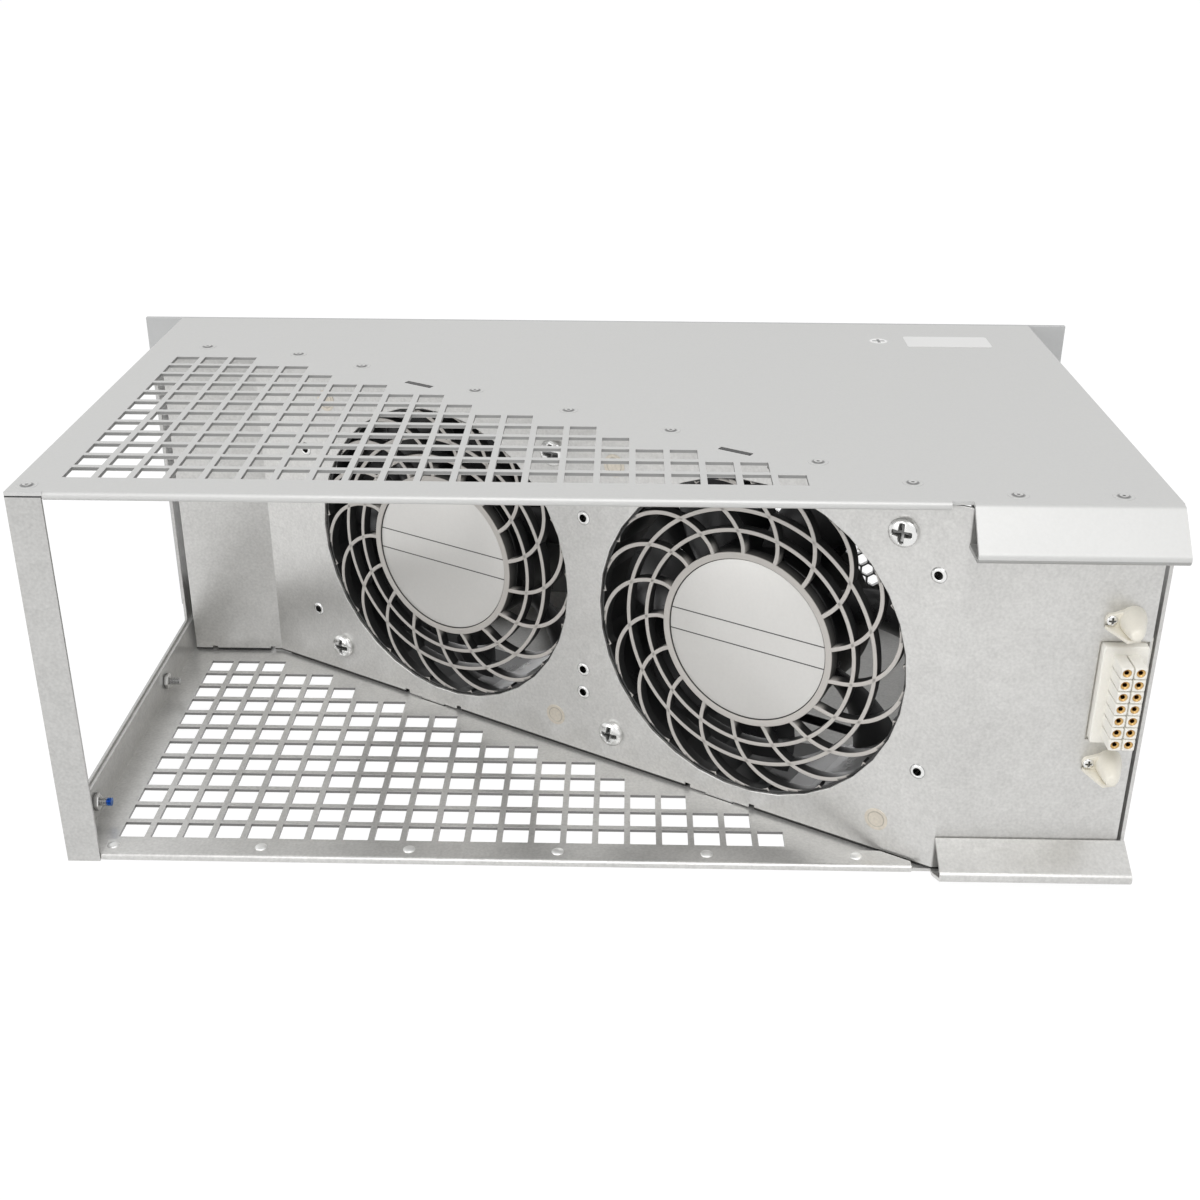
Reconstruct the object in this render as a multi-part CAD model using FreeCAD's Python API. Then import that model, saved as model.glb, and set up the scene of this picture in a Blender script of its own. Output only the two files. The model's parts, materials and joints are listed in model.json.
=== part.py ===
import FreeCAD, Part
import math
import os

from FreeCAD import Matrix, Vector

# Rack fan module: a folded sheet case with two axial fans on a slanted bulkhead.
# X runs across the module, +Y from the open rear to the faceplate, +Z up.
# The origin is on the underside, midway across and midway along the case.

# Driving sizes of the sheet case, in millimetres and degrees
sheet = 1.2
fold = 1.2
plate = 2.0
panel_width = 62.4
panel_inset = 0.5
left_panel_width = 40.6
front_room = 47.0
ear_width = 15.5

# Driving sizes of the fans
fan_size = 120.0
fan_depth = 38.0
fan_gap = 10.0
fan_headroom = 6.5
fan_angle = 31.4
fan_to_panel = 13.0
fan_to_left_panel = 28.7
fan_hole_edge = 7.5

# Clearances between pieces
slot_gap = 0.4
edge_gap = 1.5
turn_gap = 2.0
pin_gap = 0.2
shaft_gap = 0.03

# Sizes that follow from the ones above
fan_spacing = fan_size + fan_gap
height = fan_size + 2 * fan_headroom
mid_height = height / 2
slant = math.radians(fan_angle)
wall_length = fan_to_panel + fan_size + fan_spacing + fan_to_left_panel
width = panel_width + wall_length * math.cos(slant) + left_panel_width
depth = panel_inset + wall_length * math.sin(slant) + front_room
rear = -depth / 2
front = depth / 2
left_side = -width / 2
right_side = width / 2
left_inside = left_side + sheet
right_inside = right_side - sheet
ceiling = height - sheet

# Axes of the three bulkhead sections: along each section, and through it towards the faceplate
up = Vector(0, 0, 1)
across = Vector(1, 0, 0)
forward = Vector(0, 1, 0)
along = Vector(math.cos(slant), -math.sin(slant), 0)
through = Vector(math.sin(slant), math.cos(slant), 0)

# Mid-line of the bulkhead in plan, and the fan centres on its front face
right_bend = Vector(right_side - panel_width, rear + panel_inset + sheet / 2, 0)
left_bend = right_bend - along * wall_length
right_fan_from_bend = fan_to_panel + fan_size / 2
left_fan_from_bend = right_fan_from_bend + fan_spacing
fan_face = through * (sheet / 2) + up * mid_height
fan_centres = {
    "right": right_bend - along * right_fan_from_bend + fan_face,
    "left": right_bend - along * left_fan_from_bend + fan_face,
}


# Helpers

def box(x0, x1, y0, y1, z0, z1):
    """A block between two corners."""
    return Part.makeBox(x1 - x0, y1 - y0, z1 - z0, Vector(x0, y0, z0))


def cylinder(radius, z0, z1, x=0.0, y=0.0):
    """A round bar along Z between two heights."""
    return Part.makeCylinder(radius, z1 - z0, Vector(x, y, z0))


def polygon(radius, sides, z, x=0.0, y=0.0):
    """A closed regular polygon about a place, its corners at the radius."""
    step = 2 * math.pi / sides
    corners = [
        Vector(x + radius * math.cos(i * step), y + radius * math.sin(i * step), z) for i in range(sides)
    ]
    return Part.makePolygon(corners + corners[:1])


def prism(radius, sides, z0, z1, x=0.0, y=0.0):
    """A bar of regular polygon section along Z."""
    return Part.Face(polygon(radius, sides, z0, x, y)).extrude(up * (z1 - z0))


def tube(outer, inner, sides, z0, z1):
    """A tube of regular polygon section along Z."""
    return prism(outer, sides, z0, z1).cut(prism(inner, sides, z0, z1))


def faceted_loft(ends):
    """A solid between two outlines of as many corners, its sides in flat triangles along the shorter diagonals."""
    low, high = [[vertex.Point for vertex in end.OrderedVertexes] for end in ends]
    faces = [Part.Face(end) for end in ends]
    for a, b, c, d in zip(low, low[1:] + low[:1], high[1:] + high[:1], high):
        if (c - a).Length > (d - b).Length:
            a, b, c, d = b, c, d, a
        faces.append(Part.Face(Part.makePolygon([a, b, c, a])))
        faces.append(Part.Face(Part.makePolygon([a, c, d, a])))
    return Part.Solid(Part.Shell(faces))


def taper(radius0, radius1, sides, z0, z1):
    """A bar along Z that narrows from one polygon to another."""
    return faceted_loft([polygon(radius0, sides, z0), polygon(radius1, sides, z1)]).removeSplitter()


def placed(shape, origin, x_axis, y_axis, z_axis):
    """The shape moved from the origin's axes to another place and turn."""
    matrix = Matrix(
        x_axis.x, y_axis.x, z_axis.x, origin.x,
        x_axis.y, y_axis.y, z_axis.y, origin.y,
        x_axis.z, y_axis.z, z_axis.z, origin.z,
        0, 0, 0, 1,
    )
    return shape.transformed(matrix, True)


def on_fan(shape, side):
    """A fan piece set on its place: its X along the wall, its Y up, its +Z out of the guard to the rear."""
    return placed(shape, fan_centres[side], along, up, through * -1)


def fused(shapes):
    """One solid from pieces that meet, with the seams of its flat faces taken out."""
    return shapes[0].multiFuse(shapes[1:]).removeSplitter()


def strip_side(points, bend, offset):
    """One edge line of a folded strip: straight runs beside the mid-line, joined by arcs round each bend."""
    headings = [(b - a).normalize() for a, b in zip(points, points[1:])]
    edges = []
    start = points[0] + up.cross(headings[0]) * offset
    for point, heading, after in zip(points[1:-1], headings, headings[1:]):
        turn = heading.getAngle(after)
        hand = math.copysign(1.0, heading.cross(after).z)
        tangent = bend * math.tan(turn / 2)
        centre = point - heading * tangent + up.cross(heading) * (hand * bend)
        reach = bend - hand * offset
        end = point - heading * tangent + up.cross(heading) * offset
        resume = point + after * tangent + up.cross(after) * offset
        middle = centre + (point - centre).normalize() * reach
        edges.append(Part.LineSegment(start, end).toShape())
        edges.append(Part.Arc(end, middle, resume).toShape())
        start = resume
    finish = points[-1] + up.cross(headings[-1]) * offset
    edges.append(Part.LineSegment(start, finish).toShape())
    return edges


def folded_strip(corners, thickness, bend, length):
    """A folded sheet: its mid-line runs through the corners, and it is extruded along Z."""
    points = [Vector(x, y, 0) for x, y in corners]
    left = strip_side(points, bend, thickness / 2)
    right = strip_side(points, bend, -thickness / 2)
    ends = [
        Part.LineSegment(left[0].firstVertex().Point, right[0].firstVertex().Point).toShape(),
        Part.LineSegment(left[-1].lastVertex().Point, right[-1].lastVertex().Point).toShape(),
    ]
    outline = Part.Wire(Part.__sortEdges__(left + right + ends))
    return Part.Face(outline).extrude(up * length)


def lead_along(section, points, bend):
    """A lead: its section pushed along straight runs through the points, and round each bend in short chords."""
    end = section
    runs = []
    start = points[0]
    for before, point, after in zip(points, points[1:], points[2:]):
        inward = (point - before).normalize()
        outward = (after - point).normalize()
        turn = inward.getAngle(outward)
        stop = point - inward * (bend * math.tan(turn / 2))
        axis = inward.cross(outward).normalize()
        centre = stop + axis.cross(inward) * bend
        runs.append(Part.Face(end).extrude(stop - start))
        end = end.translated(stop - start)
        for i in range(bend_chords):
            beyond = end.copy()
            beyond.rotate(centre, axis, math.degrees(turn) / bend_chords)
            runs.append(faceted_loft([end, beyond]))
            end = beyond
        start = point + outward * (bend * math.tan(turn / 2))
    runs.append(Part.Face(end).extrude(points[-1] - start))
    return fused(runs)


# Perforated sheets: the cover and the tray share one pattern of square holes behind the slanted wall

hole = 8.9
hole_pitch = 11.0
holes_from_side = 13.2
holes_from_rear = 13.0
holes_to_wall = 4.6
holes_to_left_panel = 5.0


def wall_x(y):
    """Where the slanted wall's rear face stands at a distance along the case."""
    rear_face = right_bend - through * (sheet / 2)
    return rear_face.x - (y - rear_face.y) / math.tan(slant)


def square_holes(z0, z1):
    """The stepped triangle of square holes, as cutters between two heights."""
    cutters = []
    y = rear + holes_from_rear
    while y + hole <= left_bend.y - holes_to_left_panel:
        x = left_side + holes_from_side
        while x + hole <= wall_x(y + hole) - holes_to_wall:
            cutters.append(box(x, x + hole, y, y + hole, z0, z1))
            x += hole_pitch
        y += hole_pitch
    return Part.makeCompound(cutters)


# Tabs of the bulkhead that stand in slots of the cover and the tray

tab_width = 11.0
tab_shoulder = 12.0
tab_relief = 2.0
tab_before_fan = 7.0
tab_slack = 0.6
tabs_from_bend = [distance + tab_before_fan for distance in (right_fan_from_bend, left_fan_from_bend)]
left_panel_end = left_inside + sheet + edge_gap


def wall_block(middle, heading, facing, half_length, half_thickness, z0, z1):
    """A block centred on a bulkhead section, between two heights."""
    block = box(-half_thickness, half_thickness, z0, z1, -half_length, half_length)
    return placed(block, middle, facing, up, heading)


def tab_slots(z0, z1):
    """Cutters for the slots that take the bulkhead's tabs."""
    half_slot = sheet / 2 + slot_gap + tab_slack / 2
    shift = through * (tab_slack / 2)
    slots = [
        wall_block(right_bend + shift - along * s, along, through, tab_width / 2 + slot_gap, half_slot, z0, z1)
        for s in tabs_from_bend
    ]
    return Part.makeCompound(slots)


# Rear edge of the cover: a closed hem over the plenum and a wedge-shaped lead-in nose over the connector

hem_width = 9.0
hem_slit = 0.4
hem_notch = 6.5
hem_to_wall = 1.0
wedge_run = 13.4
ramp_drop = 6.6
wedge_bend = 1.5
post_width = 11.0
lip = 8.0
front_flange = 9.0
hem_radius = sheet + hem_slit / 2
hem_start = left_side + post_width + slot_gap
hem_end = right_bend.x - hem_notch
nose_end = right_side - slot_gap
nose_corner = rear + panel_inset - (wedge_bend + sheet) * math.tan(math.pi / 8)


def rear_hem():
    """The rear edge folded under itself, cut back along the slanted wall."""
    middle = Vector(hem_start, rear + hem_radius, height - hem_radius)
    length = hem_end - hem_start
    roll = Part.makeCylinder(hem_radius, length, middle, across)
    slit = Part.makeCylinder(hem_slit / 2, length, middle, across)
    ahead = box(hem_start, hem_end, middle.y, middle.y + hem_radius, 0, height)
    leg_top = height - sheet - hem_slit
    leg = box(hem_start, hem_end, middle.y, rear + hem_width, leg_top - sheet, leg_top)
    hem = roll.cut(slit).cut(ahead).fuse(leg)
    clear = wall_block(
        right_bend + through * (depth / 2), along, through, width, depth / 2 + sheet / 2 + hem_to_wall, 0, height
    )
    return hem.cut(clear)


def lead_in_nose(drop):
    """The wedge: the sheet slopes out and down to its edge, turns sharply and returns to the connector panel."""
    level = height - sheet / 2
    return_slope = 1 - drop / wedge_run
    profile = [
        (rear + wedge_run, level),
        (nose_corner, level),
        (nose_corner - wedge_run, level - drop),
        (rear + panel_inset - return_slope * sheet / 2, level - wedge_run),
    ]
    strip = folded_strip(profile, sheet, wedge_bend, nose_end - right_bend.x)
    return placed(strip, Vector(right_bend.x, 0, 0), forward, up, across)


def case_sheet(x0, nose_drop):
    """The level sheet of the cover, or of the tray upside down: holes, slots, hem, nose and front flange."""
    level = box(x0, right_side, rear, front, ceiling, height)
    roll_relief = box(hem_start, hem_end, rear, rear + hem_radius, ceiling, height)
    nose_relief = box(hem_end, right_side, rear, rear + edge_gap, ceiling, height)
    level = level.cut(Part.makeCompound([roll_relief, nose_relief]))
    level = level.cut(square_holes(ceiling - sheet, height + sheet))
    level = level.cut(tab_slots(ceiling - sheet, height + sheet))
    flange = box(left_inside + sheet, right_inside - sheet, front - sheet, front, height - front_flange, height)
    return fused([level, rear_hem(), lead_in_nose(nose_drop), flange])


# Top cover with stiffening lips inside the side walls and a countersunk hole for its screw

small_sides = 10
cover_screw_radius = 2.0
cover_screw_head = 3.7
cover_screw_from_side = 65.5
cover_screw_from_front = 25.0
plate_tab_half = 10.0
plate_tab_beyond = 9.0
lip_from_rear = 20.0
cover_screw_x = right_side - cover_screw_from_side
cover_screw_y = front - cover_screw_from_front


def top_cover():
    lip_end = front - sheet - edge_gap
    lips = [
        box(x, x + sheet, rear + lip_from_rear, lip_end, height - lip, ceiling)
        for x in (left_inside, right_inside - sheet)
    ]
    countersink = taper(cover_screw_radius, cover_screw_head, small_sides, ceiling, height)
    countersink.translate(Vector(cover_screw_x, cover_screw_y, 0))
    notch_half = plate_tab_half + slot_gap
    notch = box(
        cover_screw_x - notch_half, cover_screw_x + notch_half, front - sheet, front, height - front_flange, ceiling
    )
    return fused([case_sheet(left_side, wedge_run)] + lips).cut(Part.makeCompound([countersink, notch]))


# Bottom tray: the cover's sheet upside down, with the right wall bent up from it and a low rail at the left

rail_height = 14.0
rail_screw_radius = 1.5
rail_screw_height = 8.0
rail_screws_from_rear = (24.0, 112.0)


def rail_bars(radius, x0, x1):
    """Bars across the module at the two rail screws."""
    bar = prism(radius, small_sides, x0, x1)
    bars = [
        placed(bar, Vector(0, rear + y, rail_screw_height), forward, up, across) for y in rail_screws_from_rear
    ]
    return Part.makeCompound(bars)


def bottom_tray():
    floor = case_sheet(left_inside, ramp_drop).mirror(Vector(0, 0, mid_height), up)
    rail_start = rear + sheet + slot_gap
    post_relief = box(left_inside, hem_start, rear, rail_start, 0, sheet)
    right_wall = box(right_inside, right_side, rear + edge_gap, front, 0, ceiling)
    rail = box(left_inside, left_inside + sheet, rail_start, front - sheet - edge_gap, 0, rail_height)
    rail = rail.cut(rail_bars(rail_screw_radius, left_inside, left_inside + sheet))
    return fused([floor.cut(post_relief), right_wall, rail])


# Left side frame: a rear post, a lower rail and a front wall round the open side

rail_cover = 15.0
post_depth = 12.0
post_tab = 11.0


def left_side_frame():
    post = box(left_side, left_side + post_width, rear, rear + sheet, 0, ceiling)
    post_side = box(left_side, left_inside, rear, rear + post_depth, 0, ceiling)
    rail = box(left_side, left_inside, rear, front, 0, rail_cover)
    wall = box(left_side, left_inside, left_bend.y, front, 0, ceiling)
    tab = box(left_side, left_side + post_width, rear, rear + post_tab, ceiling - sheet, ceiling)
    side = fused([post, post_side, rail, wall, tab])
    return side.cut(rail_bars(rail_screw_radius, left_side, left_inside))


# Bulkhead: one folded sheet with fan openings, flanges top and bottom, tabs and a connector cut-out

flange_width = 12.0
flange_to_bend = 5.0
left_flange_inset = 9.0
opening_margin = 0.3
fan_wall = 2.3
fan_bore = fan_size / 2 - fan_wall
opening_radius = fan_bore + opening_margin
fan_hole_place = fan_size / 2 - fan_hole_edge
fan_screw_radius = 2.0
locating_pin_length = 3.0
foot_groove = 0.6
connector_from_side = 11.0
connector_above_middle = 3.5
cutout_width = 15.0
cutout_height = 35.0
insert_sides = 6
insert_radius = 2.4
insert_high = 30.5
insert_higher = 40.8
insert_low = -29.5
insert_lower = -39.0
left_flange_ends = (left_panel_end + left_flange_inset, left_bend.x - flange_to_bend)
connector_x = right_side - connector_from_side
connector_z = mid_height + connector_above_middle
inserts = [
    ("left", -fan_spacing / 2, insert_high),
    ("left", -fan_spacing / 2, insert_lower),
    ("left", fan_spacing / 2, insert_high),
    ("left", fan_spacing / 2, insert_low),
    ("left", fan_spacing / 2, insert_lower),
    ("right", fan_spacing / 2, insert_higher),
    ("right", fan_spacing / 2, insert_low),
]
screw_corners = [(1, 1), (-1, -1)]
pin_corners = [(-1, 1), (1, -1)]


def top_and_bottom(block):
    """A block at the foot of the bulkhead, and its mirror image under the cover."""
    return [block, block.mirror(Vector(0, 0, mid_height), up)]


def bulkhead_flanges():
    """Flange strips along the feet of the three sections, stopping short of the bends and the tabs."""
    reach = tab_shoulder + tab_relief
    stops = [flange_to_bend]
    for s in tabs_from_bend:
        stops += [s - reach, s + reach]
    stops.append(wall_length - flange_to_bend)
    runs = [(right_bend - along * far, along, through, far - near) for near, far in zip(stops[::2], stops[1::2])]
    panel_end = right_inside - edge_gap - flange_to_bend
    panel_start = right_bend + across * flange_to_bend
    runs.append((panel_start, across, forward, panel_end - panel_start.x))
    start, end = left_flange_ends
    runs.append((Vector(start, left_bend.y, 0), across, forward, end - start))
    strips = []
    for start, heading, facing, length in runs:
        strip = box(0, flange_width, sheet, 2 * sheet, 0, length)
        strips += top_and_bottom(placed(strip, start, facing, up, heading))
    return strips


def bulkhead_tabs():
    """Tabs that stand in the slots of the cover and the tray."""
    return [
        wall_block(right_bend - along * s, along, through, tab_width / 2, sheet / 2, 0, height)
        for s in tabs_from_bend
    ]


def bulkhead_reliefs():
    """Cutters for the small square reliefs at the ends of the flanges."""
    places = []
    for s in tabs_from_bend:
        for offset in (-tab_shoulder - tab_relief / 2, tab_shoulder + tab_relief / 2):
            places.append((right_bend - along * (s + offset), along, through))
    for x, hand in zip(left_flange_ends, (-1, 1)):
        places.append((Vector(x + hand * tab_relief / 2, left_bend.y, 0), across, forward))
    cutters = []
    for middle, heading, facing in places:
        notch = wall_block(middle, heading, facing, tab_relief / 2, sheet, sheet, sheet + tab_relief)
        cutters += top_and_bottom(notch)
    return cutters


def bulkhead():
    line = [
        (left_panel_end, left_bend.y),
        (left_bend.x, left_bend.y),
        (right_bend.x, right_bend.y),
        (right_inside - edge_gap, right_bend.y),
    ]
    web = folded_strip(line, sheet, fold, ceiling - sheet - 2 * foot_groove)
    web.translate(up * (sheet + foot_groove))
    cutters = bulkhead_reliefs()
    pins = []
    for side in fan_centres:
        cutters.append(on_fan(prism(opening_radius, duct_sides, 0, sheet), side))
        for i, j in screw_corners:
            bore = prism(
                fan_screw_radius + pin_gap, small_sides, 0, sheet, i * fan_hole_place, j * fan_hole_place
            )
            cutters.append(on_fan(bore, side))
        for i, j in pin_corners:
            pin = prism(
                fan_screw_radius - pin_gap, small_sides, -locating_pin_length, sheet / 2,
                i * fan_hole_place, j * fan_hole_place,
            )
            pins.append(on_fan(pin, side))
    for side, x, y in inserts:
        cutters.append(on_fan(prism(insert_radius, insert_sides, 0, sheet, x, y), side))
    cutters.append(
        box(
            connector_x - cutout_width / 2, connector_x + cutout_width / 2, rear, rear + flange_width,
            connector_z - cutout_height / 2, connector_z + cutout_height / 2,
        )
    )
    wall = fused([web] + bulkhead_flanges() + bulkhead_tabs())
    return fused([wall.cut(Part.makeCompound(cutters))] + pins)


# Threaded inserts pressed into the bulkhead, for guards or ducts in front of the fans

insert_bore = 1.4
insert_length = 4.0
insert_proud = 0.3


def bulkhead_inserts():
    barrels = []
    for side, x, y in inserts:
        barrel = prism(insert_radius, insert_sides, -insert_length, sheet + insert_proud, x, y)
        bore = prism(insert_bore, insert_sides, -insert_length, sheet + insert_proud, x, y)
        barrels.append(on_fan(barrel.cut(bore), side))
    return Part.makeCompound(barrels)


# Fan housing: a duct with a square mounting flange and a small block where its lead comes out

spokes = 17
duct_sides = 2 * spokes
corner_cut = 3.0
fan_flange = 4.5
duct_skin = 0.3
rim_seat = 1.2
rim_depth = 4.0
lead_side = 30.0
lead_drop = fan_size / 2 - 5.0
lead_block = 7.0
lead_block_depth = 9.5
duct_radius = fan_size / 2 - duct_skin
rim_radius = fan_bore + rim_seat


def flange_plate():
    """The square flange with its four corners cut."""
    half = fan_size / 2
    plain = box(-half, half, -half, half, -fan_flange, 0)
    uprights = [edge for edge in plain.Edges if abs(edge.Vertexes[0].Z - edge.Vertexes[1].Z) > fan_flange / 2]
    return plain.makeChamfer(corner_cut, uprights)


def fan_frame(side):
    duct = prism(duct_radius, duct_sides, -fan_depth, 0)
    block = box(
        lead_side - lead_block / 2, lead_side + lead_block / 2, -lead_drop - lead_block / 2, -lead_drop + lead_block,
        -fan_flange - lead_block_depth, -fan_flange,
    )
    bores = [prism(fan_bore, duct_sides, -fan_depth, 0), prism(rim_radius, duct_sides, -rim_depth, 0)]
    for i, j in screw_corners + pin_corners:
        bores.append(prism(fan_screw_radius, small_sides, -fan_flange, 0, i * fan_hole_place, j * fan_hole_place))
    return on_fan(fused([duct, flange_plate(), block]).cut(Part.makeCompound(bores)), side)


# Fan guard: a hub cup for the motor, carried by curved spokes and two rings inside a thin rim

hub_radius = 32.0
hub_floor = 3.0
hub_rim = 2.4
hub_rim_height = 0.9
spoke_width = 1.8
spoke_runs = 3
spoke_first = 9.5
spoke_lead = 9.5
spoke_sweep = 40.0
spoke_bite = 0.6
ring_pitch = 7.4
ring_width = 1.7
rim_lip = 0.7
rim_inner = fan_bore - rim_lip
ring_radii = (hub_radius + ring_pitch, hub_radius + 2 * ring_pitch)
motor_sides = 12
bearing_radius = 5.0
bearing_tube = 7.2
bearing_tube_end = 24.0


def polar(radius, degrees):
    """A point at a distance and angle from the fan's axis."""
    angle = math.radians(degrees)
    return Vector(radius * math.cos(angle), radius * math.sin(angle), 0)


def spoke():
    """One spoke: a band of short runs along the arc that leaves the hub outwards and sweeps round to the rim."""
    root = polar(hub_radius - spoke_bite, 0)
    middle = polar(ring_radii[1], spoke_lead)
    tip = polar(rim_inner + 2 * spoke_bite, spoke_sweep)
    arc = Part.Arc(root, middle, tip).toShape()
    centre = arc.Curve.Center
    inner = []
    outer = []
    for point in arc.discretize(spoke_runs + 1):
        ray = (point - centre).normalize()
        inner.append(point - ray * (spoke_width / 2))
        outer.append(point + ray * (spoke_width / 2))
    corners = inner + outer[::-1]
    return Part.Face(Part.makePolygon(corners + corners[:1])).extrude(up * -rim_depth)


def fan_guard(side):
    rings = [tube(rim_radius, rim_inner, duct_sides, -rim_depth, 0)]
    for i, radius in enumerate(ring_radii):
        ring = tube(radius + ring_width / 2, radius - ring_width / 2, spokes, -rim_depth, 0)
        ring.rotate(Vector(0, 0, 0), up, spoke_first + spoke_lead * (i + 1) / len(ring_radii))
        rings.append(ring)
    first = spoke()
    arms = []
    for i in range(spokes):
        arm = first.copy()
        arm.rotate(Vector(0, 0, 0), up, spoke_first + i * 360 / spokes)
        arms.append(arm)
    hub = prism(hub_radius, duct_sides, -rim_depth, hub_rim_height)
    bearing_post = prism(bearing_tube, motor_sides, -bearing_tube_end, -rim_depth)
    recess = prism(hub_radius - hub_rim, duct_sides, 0, hub_rim_height)
    bearing_bore = prism(bearing_radius, motor_sides, -bearing_tube_end, -hub_floor)
    inside = prism(rim_inner + spoke_bite, duct_sides, -rim_depth, 0)
    body = fused([hub, bearing_post] + rings + [arm.common(inside) for arm in arms])
    return on_fan(body.cut(recess).cut(bearing_bore), side)


# Bare foil disc in the hub's recess

label_thickness = 0.3


def fan_label(side):
    return on_fan(prism(hub_radius - hub_rim - pin_gap, duct_sides, 0, label_thickness), side)


# Motor inside the hub: driver board, slotted core with windings, two bearings, shaft and ring magnet

cup_sides = 24
board_radius = 26.0
board_thickness = 1.4
core_radius = 24.4
core_start = 9.0
core_end = 22.0
core_slots = 6
core_slot_width = 6.0
core_slot_mouth = 2.5
core_back = 10.5
core_shoe = 2.5
winding_gap = 0.5
shaft_radius = 2.0
bearing_width = 4.0
magnet_inner = 25.0
magnet_outer = 28.4
magnet_start = 8.5
magnet_end = 23.0
cup_radius = 31.0
cup_floor = 2.5
cup_start = rim_depth + turn_gap
cup_end = fan_depth - turn_gap
boss_radius = 5.5
boss_length = 5.0
bearing_bore = (shaft_radius + shaft_gap) / math.cos(math.pi / motor_sides)
slot_turn = 180 / motor_sides


def around(shape, count, first):
    """Copies of a shape spaced evenly round the fan's axis."""
    copies = []
    for i in range(count):
        copy = shape.copy()
        copy.rotate(Vector(0, 0, 0), up, first + i * 360 / count)
        copies.append(copy)
    return copies


def fan_board(side):
    return on_fan(tube(board_radius, bearing_tube, motor_sides, -rim_depth - board_thickness, -rim_depth), side)


def fan_stator(side):
    core = tube(core_radius, bearing_tube, motor_sides, -core_end, -core_start)
    half = core_slot_width / 2
    slot_end = core_radius - core_shoe
    slot = box(core_back, slot_end, -half, half, -core_end, -core_start)
    mouth = box(slot_end, core_radius, -core_slot_mouth / 2, core_slot_mouth / 2, -core_end, -core_start)
    return on_fan(core.cut(Part.makeCompound(around(slot.fuse(mouth), core_slots, slot_turn))), side)


def fan_windings(side):
    """Blocks of wire in the slots of the core."""
    half = core_slot_width / 2 - winding_gap
    slot_end = core_radius - core_shoe - winding_gap
    coil = box(core_back, slot_end, -half, half, -core_end, -core_start)
    return on_fan(Part.makeCompound(around(coil, core_slots, slot_turn)), side)


def fan_bearings(side):
    starts = (hub_floor + turn_gap, bearing_tube_end - bearing_width)
    races = [tube(bearing_radius, bearing_bore, motor_sides, -z - bearing_width, -z) for z in starts]
    return on_fan(Part.makeCompound(races), side)


def fan_shaft(side):
    return on_fan(prism(shaft_radius, motor_sides, -cup_end + cup_floor, -hub_floor - turn_gap / 2), side)


def fan_magnet(side):
    return on_fan(tube(magnet_outer, magnet_inner, cup_sides, -magnet_end, -magnet_start), side)


# Impeller: a cup that carries swept blades, twisted from root to tip

blades = 7
blade_gap = 1.3
blade_bite = 1.0
blade_start = 9.0
root_reach = 12.0
root_thickness = 1.6
tip_reach = 20.0
tip_rise = 4.0
tip_thickness = 1.1
tip_lean = 9.0
tip_radius = fan_bore - blade_gap


def blade_section(radius, lean, reach, front_edge, rear_edge, thickness):
    """A slim four-cornered section across a blade, square to the radius."""
    middle = -(rear_edge + front_edge) / 2
    corners = [
        Vector(radius, reach - lean, -rear_edge),
        Vector(radius, -lean - thickness, middle + thickness),
        Vector(radius, -lean - reach, -front_edge),
        Vector(radius, thickness / 2 - lean, middle - thickness / 2),
    ]
    return Part.makePolygon(corners + corners[:1])


def fan_impeller(side):
    blade_end = cup_end - blade_bite
    root = blade_section(
        cup_radius - root_reach / 2, 0, root_reach, blade_end, blade_start, root_thickness
    )
    tip = blade_section(
        fan_size / 2, tip_lean, tip_reach, blade_end - tip_rise, blade_start + tip_rise, tip_thickness
    )
    swept = prism(tip_radius, cup_sides, -fan_depth, 0)
    core = prism(cup_radius - blade_bite, cup_sides, -fan_depth, 0)
    blade = faceted_loft([root, tip]).common(swept).cut(core)
    inside = -cup_end + cup_floor
    shell = prism(cup_radius, cup_sides, -cup_end, -cup_start).cut(prism(magnet_outer, cup_sides, inside, -cup_start))
    boss = tube(boss_radius, shaft_radius, motor_sides, inside, inside + boss_length)
    return on_fan(fused([shell, boss] + around(blade, blades, 0)), side)


# Pan-head screws that hold the fans to the bulkhead

fan_screw_head = 4.7
fan_screw_crown = 3.2
fan_screw_edge = 1.3
fan_screw_rise = 2.8
fan_screw_length = 9.0


def fan_screws():
    head_top = sheet + fan_screw_edge
    screw = fused([
        prism(fan_screw_radius, small_sides, -fan_screw_length, sheet),
        prism(fan_screw_head, small_sides, sheet, head_top),
        taper(fan_screw_head, fan_screw_crown, small_sides, head_top, sheet + fan_screw_rise),
    ])
    screws = []
    for side in fan_centres:
        for i, j in screw_corners:
            screws.append(on_fan(screw.translated(Vector(i * fan_hole_place, j * fan_hole_place, 0)), side))
    return Part.makeCompound(screws)


# Connector: a housing of square silos with box contacts, between two tapered guide horns

silo_rows = 7
silo_columns = 2
silo_pitch = 4.2
silo_size = 3.8
silo_bore = 2.2
silo_reach = 12.0
shoulder_reach = 3.0
shoulder_gap = 0.4
body_back = 9.0
body_flange = 2.5
body_flange_margin = 2.0
contact_recess = 1.5
contact_size = 1.9
horn_from_middle = 25.5
horn_radius = 3.8
horn_tip = 2.4
horn_reach = 12.5
ear_plate = 1.6
ear_tip = 1.8
connector_screw_head = 1.7
connector_screw_rise = 0.8
ear_reach = horn_radius + 2 * connector_screw_head + pin_gap
panel_rear = rear + panel_inset


def silo_places():
    """Middles of the silos, as places across and up from the connector's middle."""
    xs = [(i - (silo_columns - 1) / 2) * silo_pitch for i in range(silo_columns)]
    ys = [(i - (silo_rows - 1) / 2) * silo_pitch for i in range(silo_rows)]
    return [(x, y) for x in xs for y in ys]


def square_bars(size, z0, z1):
    """Square bars along Z at all silos."""
    half = size / 2
    return [box(x - half, x + half, y - half, y + half, z0, z1) for x, y in silo_places()]


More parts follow.
